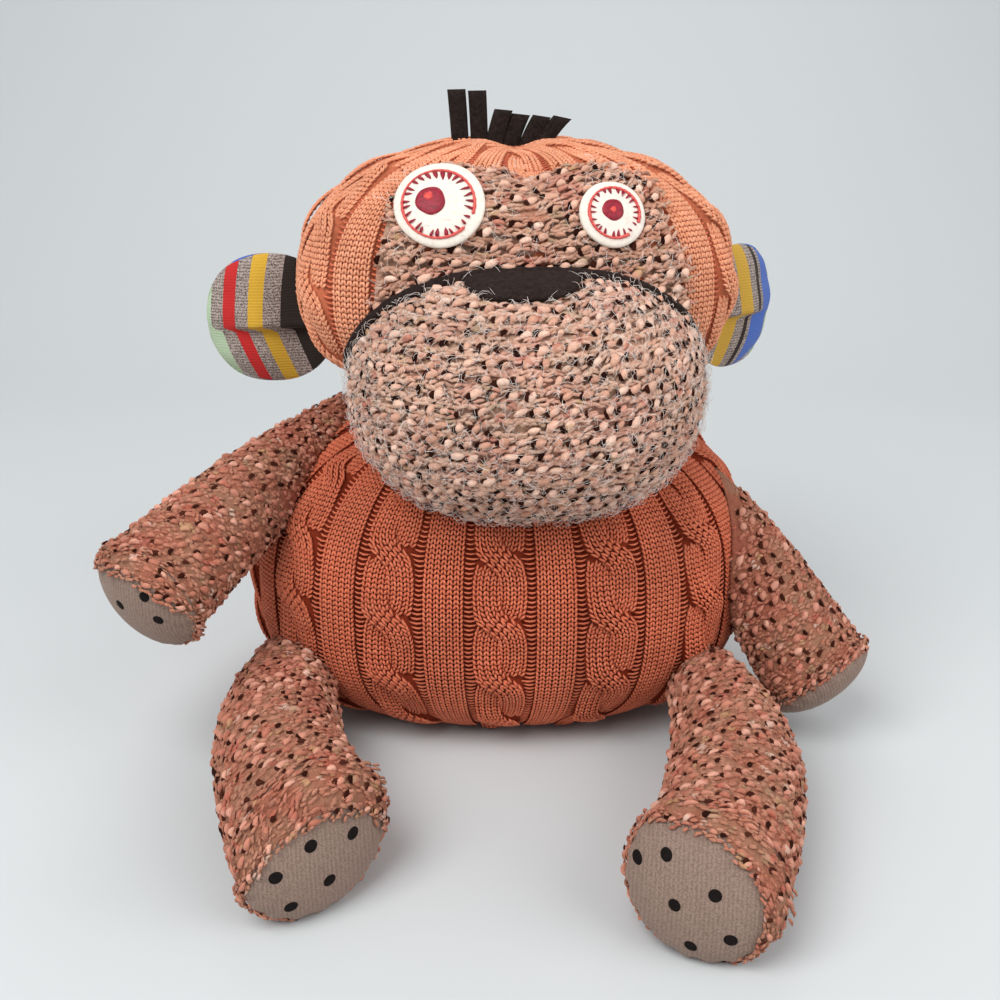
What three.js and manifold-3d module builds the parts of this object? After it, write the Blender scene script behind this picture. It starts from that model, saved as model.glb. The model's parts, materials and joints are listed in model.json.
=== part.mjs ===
// Plush monkey, sitting: knitted covers, felt trims and jersey pads round fibre stuffing.
// Millimetres, +Z up, facing -Y. The origin is on the seat, under the middle of the body.
// Left and right are the monkey's own, so its left side is at +X.
import * as THREE from "three";
import { mergeVertices } from "three/addons/utils/BufferGeometryUtils.js";
import Module from "manifold-3d";

const wasm = await Module();
wasm.setup();

// Fabrics and the gap between two pieces that are sewn or lie together
const GAP = 0.3;
const CABLE_KNIT_THICKNESS = 3;
const TWEED_KNIT_THICKNESS = 3.4;
const JERSEY_THICKNESS = 1.6;
const FELT_THICKNESS = 2;

// Cable knit: wide cables and narrower ribs in turn, with a purl ditch on each side of a cable
const CABLE_WIDTH = 20;
const RIB_WIDTH = 15;
const DITCH_WIDTH = 4.4;
const DITCH_DEPTH = 1.8;
const RIDGE_ROUNDING = 2.5;
const BODY_CABLES = 14;
const HEAD_CABLES = 11;

// Body: a squat stuffed bag with a flat seat, a front and a back panel, and a round neck plug
const BODY_HALF_WIDTH = 110;
const BODY_HALF_DEPTH = 84;
const BODY_MIDDLE_HEIGHT = 58;
const BODY_RISE = 76;
const BODY_DROP = 67;
const SIDE_SEAM_Y = 14;
const NECK_RADIUS = 27;
const NECK_HEIGHT = 133;
const NECK_Y = 4;
const NECK_CLEARANCE = 0.9;
const PELLET_POUCH_HALF_WIDTH = 55;
const PELLET_POUCH_HALF_DEPTH = 38;
const PELLET_POUCH_HEIGHT = 20;

// Head, in its own frame round the middle of the skull
const HEAD_X = 6;
const HEAD_MIDDLE_HEIGHT = 183;
const HEAD_TURN = THREE.MathUtils.degToRad(5);
const HEAD_HALF_WIDTH = 90;
const HEAD_HALF_DEPTH = 66;
const HEAD_RISE = 58;
const HEAD_DROP = 46;
const CROWN_CLEFT_DEPTH = 4;
const CROWN_CLEFT_WIDTH = 10;

// Face: a tweed brow panel let into the head, and a stuffed muzzle under it
const BROW_HALF_WIDTH = 58;
const BROW_TOP = 49;
const BROW_CLEFT = 44;
const BROW_SIDE_BOTTOM = -12;
const BROW_PROUD = 2.5;
const CREASE_HEIGHT = 20;
const MUZZLE_HALF_WIDTH = 69;
const MUZZLE_FRONT = 62;
const MUZZLE_BACK = 30;
const MUZZLE_RISE = 46;
const MUZZLE_DROP = 54;
const MUZZLE_Y = -50;
const MUZZLE_Z = -30;
const NOSE_HALF_WIDTH = 24;
const NOSE_DROP = 17;
const NOSE_TILT = THREE.MathUtils.degToRad(42);
const MOUTH_BAND_WIDTH = 5;

// Eyes: felt discs sewn on the brow
const RIGHT_EYE_RADIUS = 16.5;
const RIGHT_EYE_X = -33;
const RIGHT_EYE_Z = 41;
const LEFT_EYE_RADIUS = 12.5;
const LEFT_EYE_X = 30;
const LEFT_EYE_Z = 36;
const EYE_TILT = THREE.MathUtils.degToRad(18);

// Ears: a jersey front and back round a thin wadding, sewn into the side seams of the head
const EAR_HALF_LENGTH = 27;
const EAR_HALF_HEIGHT = 27;
const EAR_HALF_THICKNESS = 6.5;
const EAR_REACH = 43;
const EAR_SEAM_SHARE = 0.3;
const EAR_SEAT_DEPTH = 4;
const EAR_Z = -15;
const EAR_Y = 4;
const RIGHT_EAR_SWEEP = THREE.MathUtils.degToRad(4);
const LEFT_EAR_SWEEP = THREE.MathUtils.degToRad(40);
const EAR_HINGE_GAP = 0.7;

// Hair: one felt strip cut into fingers, standing in the crown
const HAIR_ROOT_WIDTH = 35;
const HAIR_ROOT_DEPTH = 6;
const HAIR_FINGER_WIDTH = 6;
const HAIR_TALL = 22;
const HAIR_SHORT = 16;
const HAIR_TALL_FINGERS = 2;
const HAIR_FINGERS = 6;
const HAIR_THICKNESS = 2.4;
const HAIR_X = -4;
const HAIR_Y = 4;
const HAIR_TALL_LEAN = THREE.MathUtils.degToRad(-3);
const HAIR_SHORT_LEAN = THREE.MathUtils.degToRad(14);
const HAIR_LAST_LEAN = THREE.MathUtils.degToRad(50);

// Arms: tapered stuffed tubes with a jersey pad for the palm
const ARM_LENGTH = 139;
const ARM_ROOT_RADIUS = 10;
const ARM_MIDDLE_RADIUS = 19;
const ARM_HAND_RADIUS = 23.5;
const ARM_BOW = 3;
const PALM_DEPTH = 12;
const SHOULDER_INSET = 35;
const SHOULDER_Y = -12;
const RIGHT_SHOULDER_Z = 118;
const LEFT_SHOULDER_Z = 104;
const SHOULDER_SINK = 22;
const RIGHT_ARM_SPREAD = THREE.MathUtils.degToRad(32);
const RIGHT_ARM_FORWARD = THREE.MathUtils.degToRad(66);
const LEFT_ARM_SPREAD = THREE.MathUtils.degToRad(33);
const LEFT_ARM_FORWARD = THREE.MathUtils.degToRad(30);

// Legs: thicker tubes that bow outwards, with a slanted jersey pad for the sole
const LEG_LENGTH = 162;
const LEG_ROOT_RADIUS = 14;
const LEG_MIDDLE_RADIUS = 24;
const LEG_FOOT_RADIUS = 25;
const LEG_BOW = 16;
const SOLE_DEPTH = 12;
const RIGHT_SOLE_TURN = THREE.MathUtils.degToRad(30);
const LEFT_SOLE_TURN = THREE.MathUtils.degToRad(14);
const SOLE_LIFT = THREE.MathUtils.degToRad(12);
const HIP_INSET = 30;
const RIGHT_HIP_Y = -30;
const LEFT_HIP_Y = -53;
const HIP_Z = 25;
const HIP_SINK = 14;
const RIGHT_LEG_TOE_IN = THREE.MathUtils.degToRad(9);
const LEFT_LEG_TOE_IN = THREE.MathUtils.degToRad(8);

const COLOURS = {
  cableKnit: 0xc9714a,
  tweedKnit: 0xb58470,
  jerseyDots: 0xa8968a,
  stripedJersey: 0x8b7d76,
  charcoalFelt: 0x2c2827,
  whiteFelt: 0xeceae2,
  blackFelt: 0x1d1715,
  stuffing: 0xf2f0ea,
  pouch: 0xd8d2c4,
};

// Solids

// A closed geometry as a manifold-3d solid.
function solidOf(geometry) {
  const bare = new THREE.BufferGeometry().setAttribute("position", geometry.getAttribute("position"));
  if (geometry.index) bare.setIndex(geometry.index);
  const merged = mergeVertices(bare, 1e-4);
  return new wasm.Manifold(
    new wasm.Mesh({
      numProp: 3,
      vertProperties: new Float32Array(merged.attributes.position.array),
      triVerts: new Uint32Array(merged.index.array),
    }),
  );
}

// A manifold-3d solid as a geometry to draw.
function geometryOf(solid) {
  const mesh = solid.getMesh();
  const positions = new Float32Array(mesh.numVert * 3);
  for (let i = 0; i < mesh.numVert; i++) {
    positions.set(mesh.vertProperties.subarray(i * mesh.numProp, i * mesh.numProp + 3), i * 3);
  }
  return new THREE.BufferGeometry()
    .setAttribute("position", new THREE.BufferAttribute(positions, 3))
    .setIndex(new THREE.BufferAttribute(mesh.triVerts, 1));
}

// Rings of points from one end to the other, closed by a point at each end.
function skin(firstPoint, rings, lastPoint) {
  const points = [firstPoint, ...rings.flat(), lastPoint];
  const around = rings[0].length;
  const at = (ring, i) => 1 + ring * around + (i % around);
  const last = points.length - 1;
  const triangles = [];
  for (let i = 0; i < around; i++) {
    triangles.push(0, at(0, i + 1), at(0, i));
    triangles.push(last, at(rings.length - 1, i), at(rings.length - 1, i + 1));
    for (let ring = 0; ring < rings.length - 1; ring++) {
      triangles.push(at(ring, i), at(ring, i + 1), at(ring + 1, i + 1));
      triangles.push(at(ring, i), at(ring + 1, i + 1), at(ring + 1, i));
    }
  }
  return new THREE.BufferGeometry().setFromPoints(points).setIndex(triangles);
}

// How far along a direction the surface lies on which the three powers of its share sum to 1.
function reach(direction, powers) {
  let low = 0;
  let high = 2;
  for (let i = 0; i < 40; i++) {
    const middle = (low + high) / 2;
    const sum = powers.reduce((total, p, axis) => {
      return total + Math.pow(middle * Math.abs(direction.getComponent(axis)), p);
    }, 0);
    if (sum < 1) low = middle;
    else high = middle;
  }
  return low;
}

// The longitudes at which a cable knit's ridges and ditches run down a bag, spaced evenly along its girth,
// each with its depth. The first cable is in the middle of the front.
function knitColumns(cables, ditchDepth, place) {
  const repeat = CABLE_WIDTH + RIB_WIDTH + 2 * DITCH_WIDTH;
  const ditch = (CABLE_WIDTH + DITCH_WIDTH) / 2;
  const cableTop = CABLE_WIDTH / 2 - RIDGE_ROUNDING;
  const ribTop = RIB_WIDTH / 2 - RIDGE_ROUNDING;
  const profile = [
    [-cableTop, 0],
    [cableTop, 0],
    [ditch, ditchDepth],
    [repeat / 2 - ribTop, 0],
    [repeat / 2 + ribTop, 0],
    [repeat - ditch, ditchDepth],
  ];
  const steps = 720;
  const longitudes = Array.from({ length: steps + 1 }, (_, i) => (i / steps) * 2 * Math.PI - Math.PI / 2);
  const lengths = [0];
  for (let i = 1; i <= steps; i++) {
    const step = place(0, longitudes[i]).distanceTo(place(0, longitudes[i - 1]));
    lengths.push(lengths[i - 1] + step);
  }
  const longitudeAt = (share) => {
    const target = (share - Math.floor(share)) * lengths[steps];
    const next = Math.max(1, lengths.findIndex((length) => length >= target));
    const part = (target - lengths[next - 1]) / (lengths[next] - lengths[next - 1]);
    return THREE.MathUtils.lerp(longitudes[next - 1], longitudes[next], part);
  };
  return Array.from({ length: cables }, (_, cable) => {
    return profile.map(([at, depth]) => [longitudeAt((cable + at / repeat) / cables), depth]);
  }).flat();
}

// A stuffed bag: an ellipsoid that swells towards a box as its powers rise above 2. A bag of cable knit
// gives its cables in place of its columns, and its ditches fade out towards its top and bottom.
function bag({ halfWidth, front, back, rise, drop, powers, columns, rows, grow = 0, cables, ditchDepth = 0 }) {
  const place = (latitude, longitude, depthHere = 0) => {
    const flat = Math.cos(latitude);
    const direction = new THREE.Vector3(
      flat * Math.cos(longitude),
      flat * Math.sin(longitude),
      Math.sin(latitude),
    );
    const depth = direction.y > 0 ? back : front;
    const height = direction.z > 0 ? rise : drop;
    const share = reach(direction, powers);
    const out = grow - depthHere;
    return direction
      .multiplyScalar(share)
      .multiply(new THREE.Vector3(halfWidth + out, depth + out, height + out));
  };
  const evenColumns = () => Array.from({ length: columns }, (_, i) => [(i / columns) * 2 * Math.PI, 0]);
  const sides = cables ? knitColumns(cables, ditchDepth, place) : evenColumns();
  const rings = [];
  for (let row = 1; row < rows; row++) {
    const latitude = -Math.PI / 2 + (row / rows) * Math.PI;
    const fade = THREE.MathUtils.smoothstep(Math.cos(latitude), 0.15, 0.5);
    rings.push(sides.map(([longitude, deep]) => place(latitude, longitude, deep * fade)));
  }
  return skin(place(-Math.PI / 2, 0), rings, place(Math.PI / 2, 0));
}

// A half space: everything on the far side of a point, along a direction.
const REACH_OF_CUT = 600;
function beyond(point, direction) {
  const block = new THREE.BoxGeometry(REACH_OF_CUT, REACH_OF_CUT, REACH_OF_CUT);
  block.translate(0, 0, REACH_OF_CUT / 2);
  const turn = new THREE.Quaternion().setFromUnitVectors(
    new THREE.Vector3(0, 0, 1),
    direction.clone().normalize(),
  );
  block.applyQuaternion(turn).translate(point.x, point.y, point.z);
  return solidOf(block);
}

// An outline in X and Z, carried along Y from one depth to another.
function slab(shape, fromY, toY) {
  const block = new THREE.ExtrudeGeometry(shape, {
    depth: toY - fromY,
    bevelEnabled: false,
    curveSegments: 6,
  });
  block.rotateX(Math.PI / 2).translate(0, toY, 0);
  return solidOf(block);
}

// Solids of one frame as seen from another.
function carried(solid, matrix) {
  return solidOf(geometryOf(solid).applyMatrix4(matrix));
}

const monkey = new THREE.Group();
monkey.name = "plush_monkey";

// One named piece of cloth or stuffing in a group.
function piece(group, name, solid, colour, roughness = 0.95) {
  const material = new THREE.MeshStandardMaterial({ color: colour, roughness, metalness: 0 });
  const mesh = new THREE.Mesh(geometryOf(solid), material);
  mesh.name = name;
  group.add(mesh);
  return mesh;
}

// Body

function bodyBag(grow, mesh) {
  const bagged = bag({
    halfWidth: BODY_HALF_WIDTH,
    front: BODY_HALF_DEPTH,
    back: BODY_HALF_DEPTH,
    rise: BODY_RISE,
    drop: BODY_DROP,
    powers: [2.4, 2.2, 2.7],
    grow,
    ...mesh,
  });
  bagged.translate(0, 0, BODY_MIDDLE_HEIGHT);
  const seat = beyond(new THREE.Vector3(0, 0, -grow), new THREE.Vector3(0, 0, -1));
  return solidOf(bagged).subtract(seat);
}

// The neck plug fills the head's neck opening, and is round so that the head can nod on it.
function neckBall(grow) {
  const ball = new THREE.SphereGeometry(NECK_RADIUS + grow, 16, 8);
  ball.rotateX(Math.PI / 2).translate(HEAD_X, NECK_Y, NECK_HEIGHT);
  return solidOf(ball);
}

const BODY_KNIT = { cables: BODY_CABLES, rows: 14 };
const LINING = { columns: 20, rows: 10 };
const bodyOuter = bodyBag(0, { ...BODY_KNIT, ditchDepth: DITCH_DEPTH }).add(neckBall(0));
const bodyCavity = bodyBag(-CABLE_KNIT_THICKNESS, LINING).add(neckBall(-CABLE_KNIT_THICKNESS));
const bodyKeepOut = bodyBag(GAP, BODY_KNIT);

function buildBody() {
  const front = new THREE.Vector3(0, -1, 0);
  const back = new THREE.Vector3(0, 1, 0);
  const cover = bodyOuter.subtract(bodyCavity);
  const frontCut = beyond(new THREE.Vector3(0, SIDE_SEAM_Y - GAP / 2, 0), back);
  const backCut = beyond(new THREE.Vector3(0, SIDE_SEAM_Y + GAP / 2, 0), front);
  piece(monkey, "body_front_panel", cover.subtract(frontCut), COLOURS.cableKnit);
  piece(monkey, "body_back_panel", cover.subtract(backCut), COLOURS.cableKnit);

  const pouchFloor = CABLE_KNIT_THICKNESS + GAP;
  const pouchAt = (grow) => {
    const pouch = bag({
      halfWidth: PELLET_POUCH_HALF_WIDTH,
      front: PELLET_POUCH_HALF_DEPTH,
      back: PELLET_POUCH_HALF_DEPTH,
      rise: PELLET_POUCH_HEIGHT,
      drop: PELLET_POUCH_HEIGHT,
      powers: [2.3, 2.3, 2],
      columns: 20,
      rows: 8,
      grow,
    });
    return solidOf(pouch.translate(0, 0, pouchFloor));
  };
  const underPouch = beyond(new THREE.Vector3(0, 0, pouchFloor), new THREE.Vector3(0, 0, -1));
  piece(monkey, "pellet_pouch", pouchAt(0).subtract(underPouch), COLOURS.pouch);
  const inside = -CABLE_KNIT_THICKNESS - GAP;
  const stuffing = bodyBag(inside, LINING).add(neckBall(inside)).subtract(pouchAt(GAP));
  piece(monkey, "body_stuffing", stuffing, COLOURS.stuffing);
}

// Head

const head = new THREE.Group();
head.position.set(HEAD_X, 0, HEAD_MIDDLE_HEIGHT);
head.rotation.z = HEAD_TURN;
head.updateMatrixWorld(true);
monkey.add(head);

function headBag(grow, mesh) {
  const skull = bag({
    halfWidth: HEAD_HALF_WIDTH,
    front: HEAD_HALF_DEPTH,
    back: HEAD_HALF_DEPTH,
    rise: HEAD_RISE,
    drop: HEAD_DROP,
    powers: [2.1, 2.9, 2.4],
    grow,
    ...mesh,
  });
  // The seam over the crown pulls the two halves in between them.
  const points = skull.getAttribute("position");
  for (let i = 0; i < points.count; i++) {
    const x = points.getX(i);
    const z = points.getZ(i);
    const upward = THREE.MathUtils.smoothstep(z, 0, HEAD_RISE);
    const pulled = CROWN_CLEFT_DEPTH * upward * Math.exp(-((x / CROWN_CLEFT_WIDTH) ** 2));
    points.setZ(i, z - pulled);
  }
  return solidOf(skull);
}

// The brow panel's outline: two rounded bumps with a dip between them, over the crease.
function browOutline(grow) {
  const side = BROW_HALF_WIDTH + grow;
  const top = BROW_TOP + grow;
  const dip = BROW_CLEFT + grow;
  const outline = new THREE.Shape();
  outline.moveTo(-side, BROW_SIDE_BOTTOM - grow);
  outline.quadraticCurveTo(0, 2 * CREASE_HEIGHT - BROW_SIDE_BOTTOM - grow, side, BROW_SIDE_BOTTOM - grow);
  outline.bezierCurveTo(side * 1.02, top * 0.6, side * 0.8, top * 1.02, side * 0.5, top);
  outline.quadraticCurveTo(side * 0.14, top * 0.98, 0, dip);
  outline.quadraticCurveTo(-side * 0.14, top * 0.98, -side * 0.5, top);
  outline.bezierCurveTo(-side * 0.8, top * 1.02, -side * 1.02, top * 0.6, -side, BROW_SIDE_BOTTOM - grow);
  return outline;
}

function muzzleBag(grow, columns, rows) {
  const muzzle = bag({
    halfWidth: MUZZLE_HALF_WIDTH,
    front: MUZZLE_FRONT,
    back: MUZZLE_BACK,
    rise: MUZZLE_RISE,
    drop: MUZZLE_DROP,
    powers: [2.4, 2, 2.1],
    columns,
    rows,
    grow,
  });
  return solidOf(muzzle.translate(0, MUZZLE_Y, MUZZLE_Z));
}

const toHead = head.matrixWorld.clone().invert();
const bodyInHead = carried(bodyKeepOut.add(neckBall(NECK_CLEARANCE)), toHead);
const HEAD_KNIT = { cables: HEAD_CABLES, rows: 14 };
const BROW_TWEED = { columns: 26, rows: 12 };
const headOuter = headBag(0, { ...HEAD_KNIT, ditchDepth: DITCH_DEPTH });
const headKeepOut = headBag(GAP, HEAD_KNIT);
const headCavity = headBag(-CABLE_KNIT_THICKNESS, LINING);

function buildHead() {
  const farFront = -HEAD_HALF_DEPTH - MUZZLE_FRONT;
  const muzzleOuter = muzzleBag(0, 24, 10);
  const muzzleKeepOut = muzzleBag(GAP, 24, 10);
  const browKeepOut = slab(browOutline(GAP), farFront, 0);
  // The head cover is open at the face, where the brow and the muzzle are sewn in.
  const cover = headOuter
    .subtract(headCavity)
    .subtract(browKeepOut)
    .subtract(muzzleKeepOut)
    .subtract(bodyInHead);
  piece(head, "head_cover", largest(cover), COLOURS.cableKnit);

  const browOuter = headBag(BROW_PROUD, BROW_TWEED);
  const brow = browOuter
    .subtract(headCavity)
    .intersect(slab(browOutline(0), farFront, -HEAD_HALF_DEPTH / 4))
    .subtract(muzzleBag(FELT_THICKNESS + 2 * GAP, 24, 10));
  piece(head, "brow_panel", largest(brow), COLOURS.tweedKnit);

  const stuffing = headBag(-CABLE_KNIT_THICKNESS - GAP, LINING).subtract(bodyInHead);
  piece(head, "head_stuffing", largest(stuffing), COLOURS.stuffing);

  buildMuzzle(muzzleOuter, farFront);
}

// The largest of the bodies that a cut has left.
function largest(solid) {
  return solid.decompose().reduce((a, b) => (a.volume() > b.volume() ? a : b));
}

function buildMuzzle(muzzleOuter, farFront) {
  const behind = headBag(GAP - CABLE_KNIT_THICKNESS, LINING);
  const cavity = muzzleBag(-TWEED_KNIT_THICKNESS, 16, 8);
  const cover = muzzleOuter.subtract(cavity).subtract(behind).subtract(bodyInHead);
  piece(head, "muzzle_cover", largest(cover), COLOURS.tweedKnit);
  const stuffing = muzzleBag(-TWEED_KNIT_THICKNESS - GAP, 16, 8).subtract(behind).subtract(bodyInHead);
  piece(head, "muzzle_stuffing", largest(stuffing), COLOURS.stuffing);

  // A half-round felt nose hangs from the crease, and runs out into a band along it.
  const felt = muzzleBag(GAP + FELT_THICKNESS, 24, 10).subtract(muzzleBag(GAP, 24, 10));
  const overMouth = beyond(new THREE.Vector3(0, 0, BROW_SIDE_BOTTOM), new THREE.Vector3(0, 0, 1));
  const band = headBag(BROW_PROUD + MOUTH_BAND_WIDTH, BROW_TWEED).intersect(overMouth);
  const nose = felt.intersect(band.add(noseBlock())).subtract(headKeepOut);
  piece(head, "nose_felt", largest(nose), COLOURS.charcoalFelt);
}

// A half-round block that points down on the muzzle, from the middle of the crease.
function noseBlock() {
  const outline = new THREE.Shape();
  outline.moveTo(NOSE_HALF_WIDTH, NOSE_HALF_WIDTH);
  outline.lineTo(-NOSE_HALF_WIDTH, NOSE_HALF_WIDTH);
  outline.lineTo(-NOSE_HALF_WIDTH, 0);
  outline.absellipse(0, 0, NOSE_HALF_WIDTH, NOSE_DROP, Math.PI, 2 * Math.PI, false);
  const block = new THREE.ExtrudeGeometry(outline, {
    depth: MUZZLE_FRONT,
    bevelEnabled: false,
    curveSegments: 9,
  });
  block.rotateX(Math.PI / 2).translate(0, MUZZLE_FRONT / 2, 0).rotateX(-NOSE_TILT);
  return solidOf(block.translate(0, -HEAD_HALF_DEPTH - BROW_PROUD, CREASE_HEIGHT));
}

// Eyes

// A felt disc that follows the brow under it.
function buildEye(name, x, z, radius) {
  const under = headBag(BROW_PROUD + GAP, BROW_TWEED);
  const over = headBag(BROW_PROUD + GAP + FELT_THICKNESS, BROW_TWEED);
  const disc = new THREE.CylinderGeometry(radius, radius, HEAD_HALF_DEPTH, 24);
  disc.rotateX(-EYE_TILT).translate(x, -HEAD_HALF_DEPTH, z);
  piece(head, name, largest(over.subtract(under).intersect(solidOf(disc))), COLOURS.whiteFelt);
}

// Ears

// An ear points along +X from its seam at the origin, facing -Y, and is thin where it is sewn on.
function earBag(grow) {
  const ear = bag({
    halfWidth: EAR_HALF_LENGTH,
    front: EAR_HALF_THICKNESS,
    back: EAR_HALF_THICKNESS,
    rise: EAR_HALF_HEIGHT,
    drop: EAR_HALF_HEIGHT,
    powers: [2.2, 2, 2.2],
    columns: 16,
    rows: 8,
    grow,
  });
  ear.translate(EAR_REACH - EAR_HALF_LENGTH, 0, 0);
  const points = ear.getAttribute("position");
  for (let i = 0; i < points.count; i++) {
    const swell = THREE.MathUtils.smoothstep(points.getX(i), 0, EAR_REACH / 2);
    points.setY(i, points.getY(i) * THREE.MathUtils.lerp(EAR_SEAM_SHARE, 1, swell));
  }
  return ear;
}

function buildEar(sideName, side, sweep) {
  const ear = new THREE.Group();
  ear.position.set(side * (HEAD_HALF_WIDTH - EAR_SEAT_DEPTH), EAR_Y, EAR_Z);
  ear.rotation.z = side > 0 ? sweep : Math.PI - sweep;
  head.add(ear);
  ear.updateMatrix();
  const skull = carried(headBag(EAR_HINGE_GAP, HEAD_KNIT), ear.matrix.clone().invert());
  const faceDown = side > 0 ? -1 : 1;
  const front = new THREE.Vector3(0, faceDown, 0);
  const outer = solidOf(earBag(0)).subtract(skull);
  const cavity = solidOf(earBag(-JERSEY_THICKNESS));
  const wadding = solidOf(earBag(-JERSEY_THICKNESS - GAP)).subtract(skull);
  const middle = (offset) => new THREE.Vector3(0, offset, 0);
  const cover = outer.subtract(cavity);
  const frontHalf = cover.intersect(beyond(middle((faceDown * GAP) / 2), front));
  const backHalf = cover.intersect(beyond(middle((-faceDown * GAP) / 2), front.clone().negate()));
  piece(ear, `${sideName}_ear_front`, largest(frontHalf), COLOURS.stripedJersey);
  piece(ear, `${sideName}_ear_back`, largest(backHalf), COLOURS.stripedJersey);
  piece(ear, `${sideName}_ear_wadding`, largest(wadding), COLOURS.stuffing);
}

// Hair

// Felt fingers side by side in the crown: the first ones tall and upright, the rest leaning over.
function buildHair() {
  const fingers = Array.from({ length: HAIR_FINGERS }, (_, i) => {
    const tall = i < HAIR_TALL_FINGERS;
    const share = (i - HAIR_TALL_FINGERS) / (HAIR_FINGERS - HAIR_TALL_FINGERS - 1);
    const lean = tall ? HAIR_TALL_LEAN : THREE.MathUtils.lerp(HAIR_SHORT_LEAN, HAIR_LAST_LEAN, share);
    const length = (tall ? HAIR_TALL : HAIR_SHORT) + HAIR_ROOT_DEPTH;
    const finger = new THREE.BoxGeometry(HAIR_FINGER_WIDTH, HAIR_THICKNESS, length);
    finger.translate(0, 0, length / 2).rotateY(lean);
    const x = HAIR_X + (i / (HAIR_FINGERS - 1) - 0.5) * HAIR_ROOT_WIDTH;
    return solidOf(finger.translate(x, HAIR_Y, HEAD_RISE - CROWN_CLEFT_DEPTH - HAIR_ROOT_DEPTH));
  });
  const root = new THREE.BoxGeometry(HAIR_ROOT_WIDTH, HAIR_THICKNESS, HAIR_ROOT_DEPTH);
  root.translate(HAIR_X, HAIR_Y, HEAD_RISE - HAIR_ROOT_DEPTH / 2);
  const strip = fingers.reduce((a, b) => a.add(b), solidOf(root)).subtract(headKeepOut);
  piece(head, "hair_fringe", largest(strip), COLOURS.blackFelt);
}

// Arms and legs

// A stuffed limb down from the origin along -Z, bowed towards +X, with a dome at its end.
function limbSkin(limb, grow, sides, steps) {
  const straight = limb.length - limb.dome;
  const stations = limb.radii.map((radius, i) => {
    return new THREE.Vector2((straight * i) / (limb.radii.length - 1), radius + grow);
  });
  const side = new THREE.SplineCurve(stations).getPoints(steps);
  side[0].x -= grow;
  const tipRadius = side[side.length - 1].y;
  const domeSteps = 4;
  for (let i = 1; i < domeSteps; i++) {
    const angle = ((i / domeSteps) * Math.PI) / 2;
    const along = straight + (limb.dome + grow) * Math.sin(angle);
    side.push(new THREE.Vector2(along, tipRadius * Math.cos(angle)));
  }
  const centre = (along) => {
    const share = along / limb.length;
    return new THREE.Vector3(4 * limb.bow * share * (1 - share), 0, -along);
  };
  // The end slants so that a sole faces inwards and up.
  const slant = (along, across) => {
    const share = THREE.MathUtils.smoothstep(along, limb.length / 2, straight);
    return share * (Math.tan(limb.turn) * across.x + Math.tan(limb.lift) * across.y);
  };
  const rings = side.map(({ x: along, y: radius }) => {
    return Array.from({ length: sides }, (_, i) => {
      const angle = (i / sides) * 2 * Math.PI;
      const across = new THREE.Vector3(radius * Math.cos(angle), radius * Math.sin(angle), 0);
      across.z = -slant(along, across);
      return across.add(centre(along));
    });
  });
  return solidOf(skin(centre(limb.length + grow), rings.reverse(), centre(side[0].x)));
}

// Cover, pad and stuffing of one limb, in a group that stands at its root and points along it.
function buildLimb(name, padName, limb, root, direction, side) {
  const group = new THREE.Group();
  const up = direction.clone().negate();
  const outward = new THREE.Vector3(side, 0, 0).addScaledVector(up, -side * up.x).normalize();
  const across = new THREE.Vector3().crossVectors(up, outward);
  group.quaternion.setFromRotationMatrix(new THREE.Matrix4().makeBasis(outward, across, up));
  group.position.copy(root).addScaledVector(direction, -limb.sunk);
  group.updateMatrix();
  monkey.add(group);

  const body = carried(bodyKeepOut, group.matrix.clone().invert());
  const outer = limbSkin(limb, 0, 16, 6);
  const cavity = limbSkin(limb, -limb.cloth, 10, 4);
  const cover = outer.subtract(cavity).subtract(body);
  const slanted = new THREE.Vector3(-Math.tan(limb.turn), -Math.tan(limb.lift), -1).normalize();
  const seamMiddle = new THREE.Vector3(0, 0, limb.padDepth - limb.length);
  const seam = (offset) => seamMiddle.clone().addScaledVector(slanted, offset);
  const tube = cover.subtract(beyond(seam(-GAP / 2), slanted));
  const pad = cover.intersect(beyond(seam(GAP / 2), slanted));
  piece(group, `${name}_cover`, largest(tube), COLOURS.tweedKnit);
  piece(group, padName, largest(pad), COLOURS.jerseyDots);
  const stuffing = limbSkin(limb, -limb.cloth - GAP, 10, 4).subtract(body);
  piece(group, `${name}_stuffing`, largest(stuffing), COLOURS.stuffing);
}

const ARM = {
  length: ARM_LENGTH,
  radii: [ARM_ROOT_RADIUS, ARM_MIDDLE_RADIUS, ARM_HAND_RADIUS],
  dome: PALM_DEPTH,
  padDepth: PALM_DEPTH,
  bow: ARM_BOW,
  turn: 0,
  lift: 0,
  sunk: SHOULDER_SINK,
  cloth: TWEED_KNIT_THICKNESS,
};

const LEG = {
  length: LEG_LENGTH,
  radii: [LEG_ROOT_RADIUS, LEG_MIDDLE_RADIUS, LEG_FOOT_RADIUS],
  dome: SOLE_DEPTH,
  padDepth: SOLE_DEPTH,
  bow: LEG_BOW,
  sunk: HIP_SINK,
  cloth: TWEED_KNIT_THICKNESS,
};

// An arm hangs at an angle out from the side and forwards.
function buildArm(sideName, side, shoulderZ, spread, forward) {
  const direction = new THREE.Vector3(
    side * Math.sin(spread),
    -Math.cos(spread) * Math.sin(forward),
    -Math.cos(spread) * Math.cos(forward),
  );
  const root = new THREE.Vector3(side * (BODY_HALF_WIDTH - SHOULDER_INSET), SHOULDER_Y, shoulderZ);
  buildLimb(`${sideName}_arm`, `${sideName}_palm_pad`, ARM, root, direction, side);
}

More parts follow.
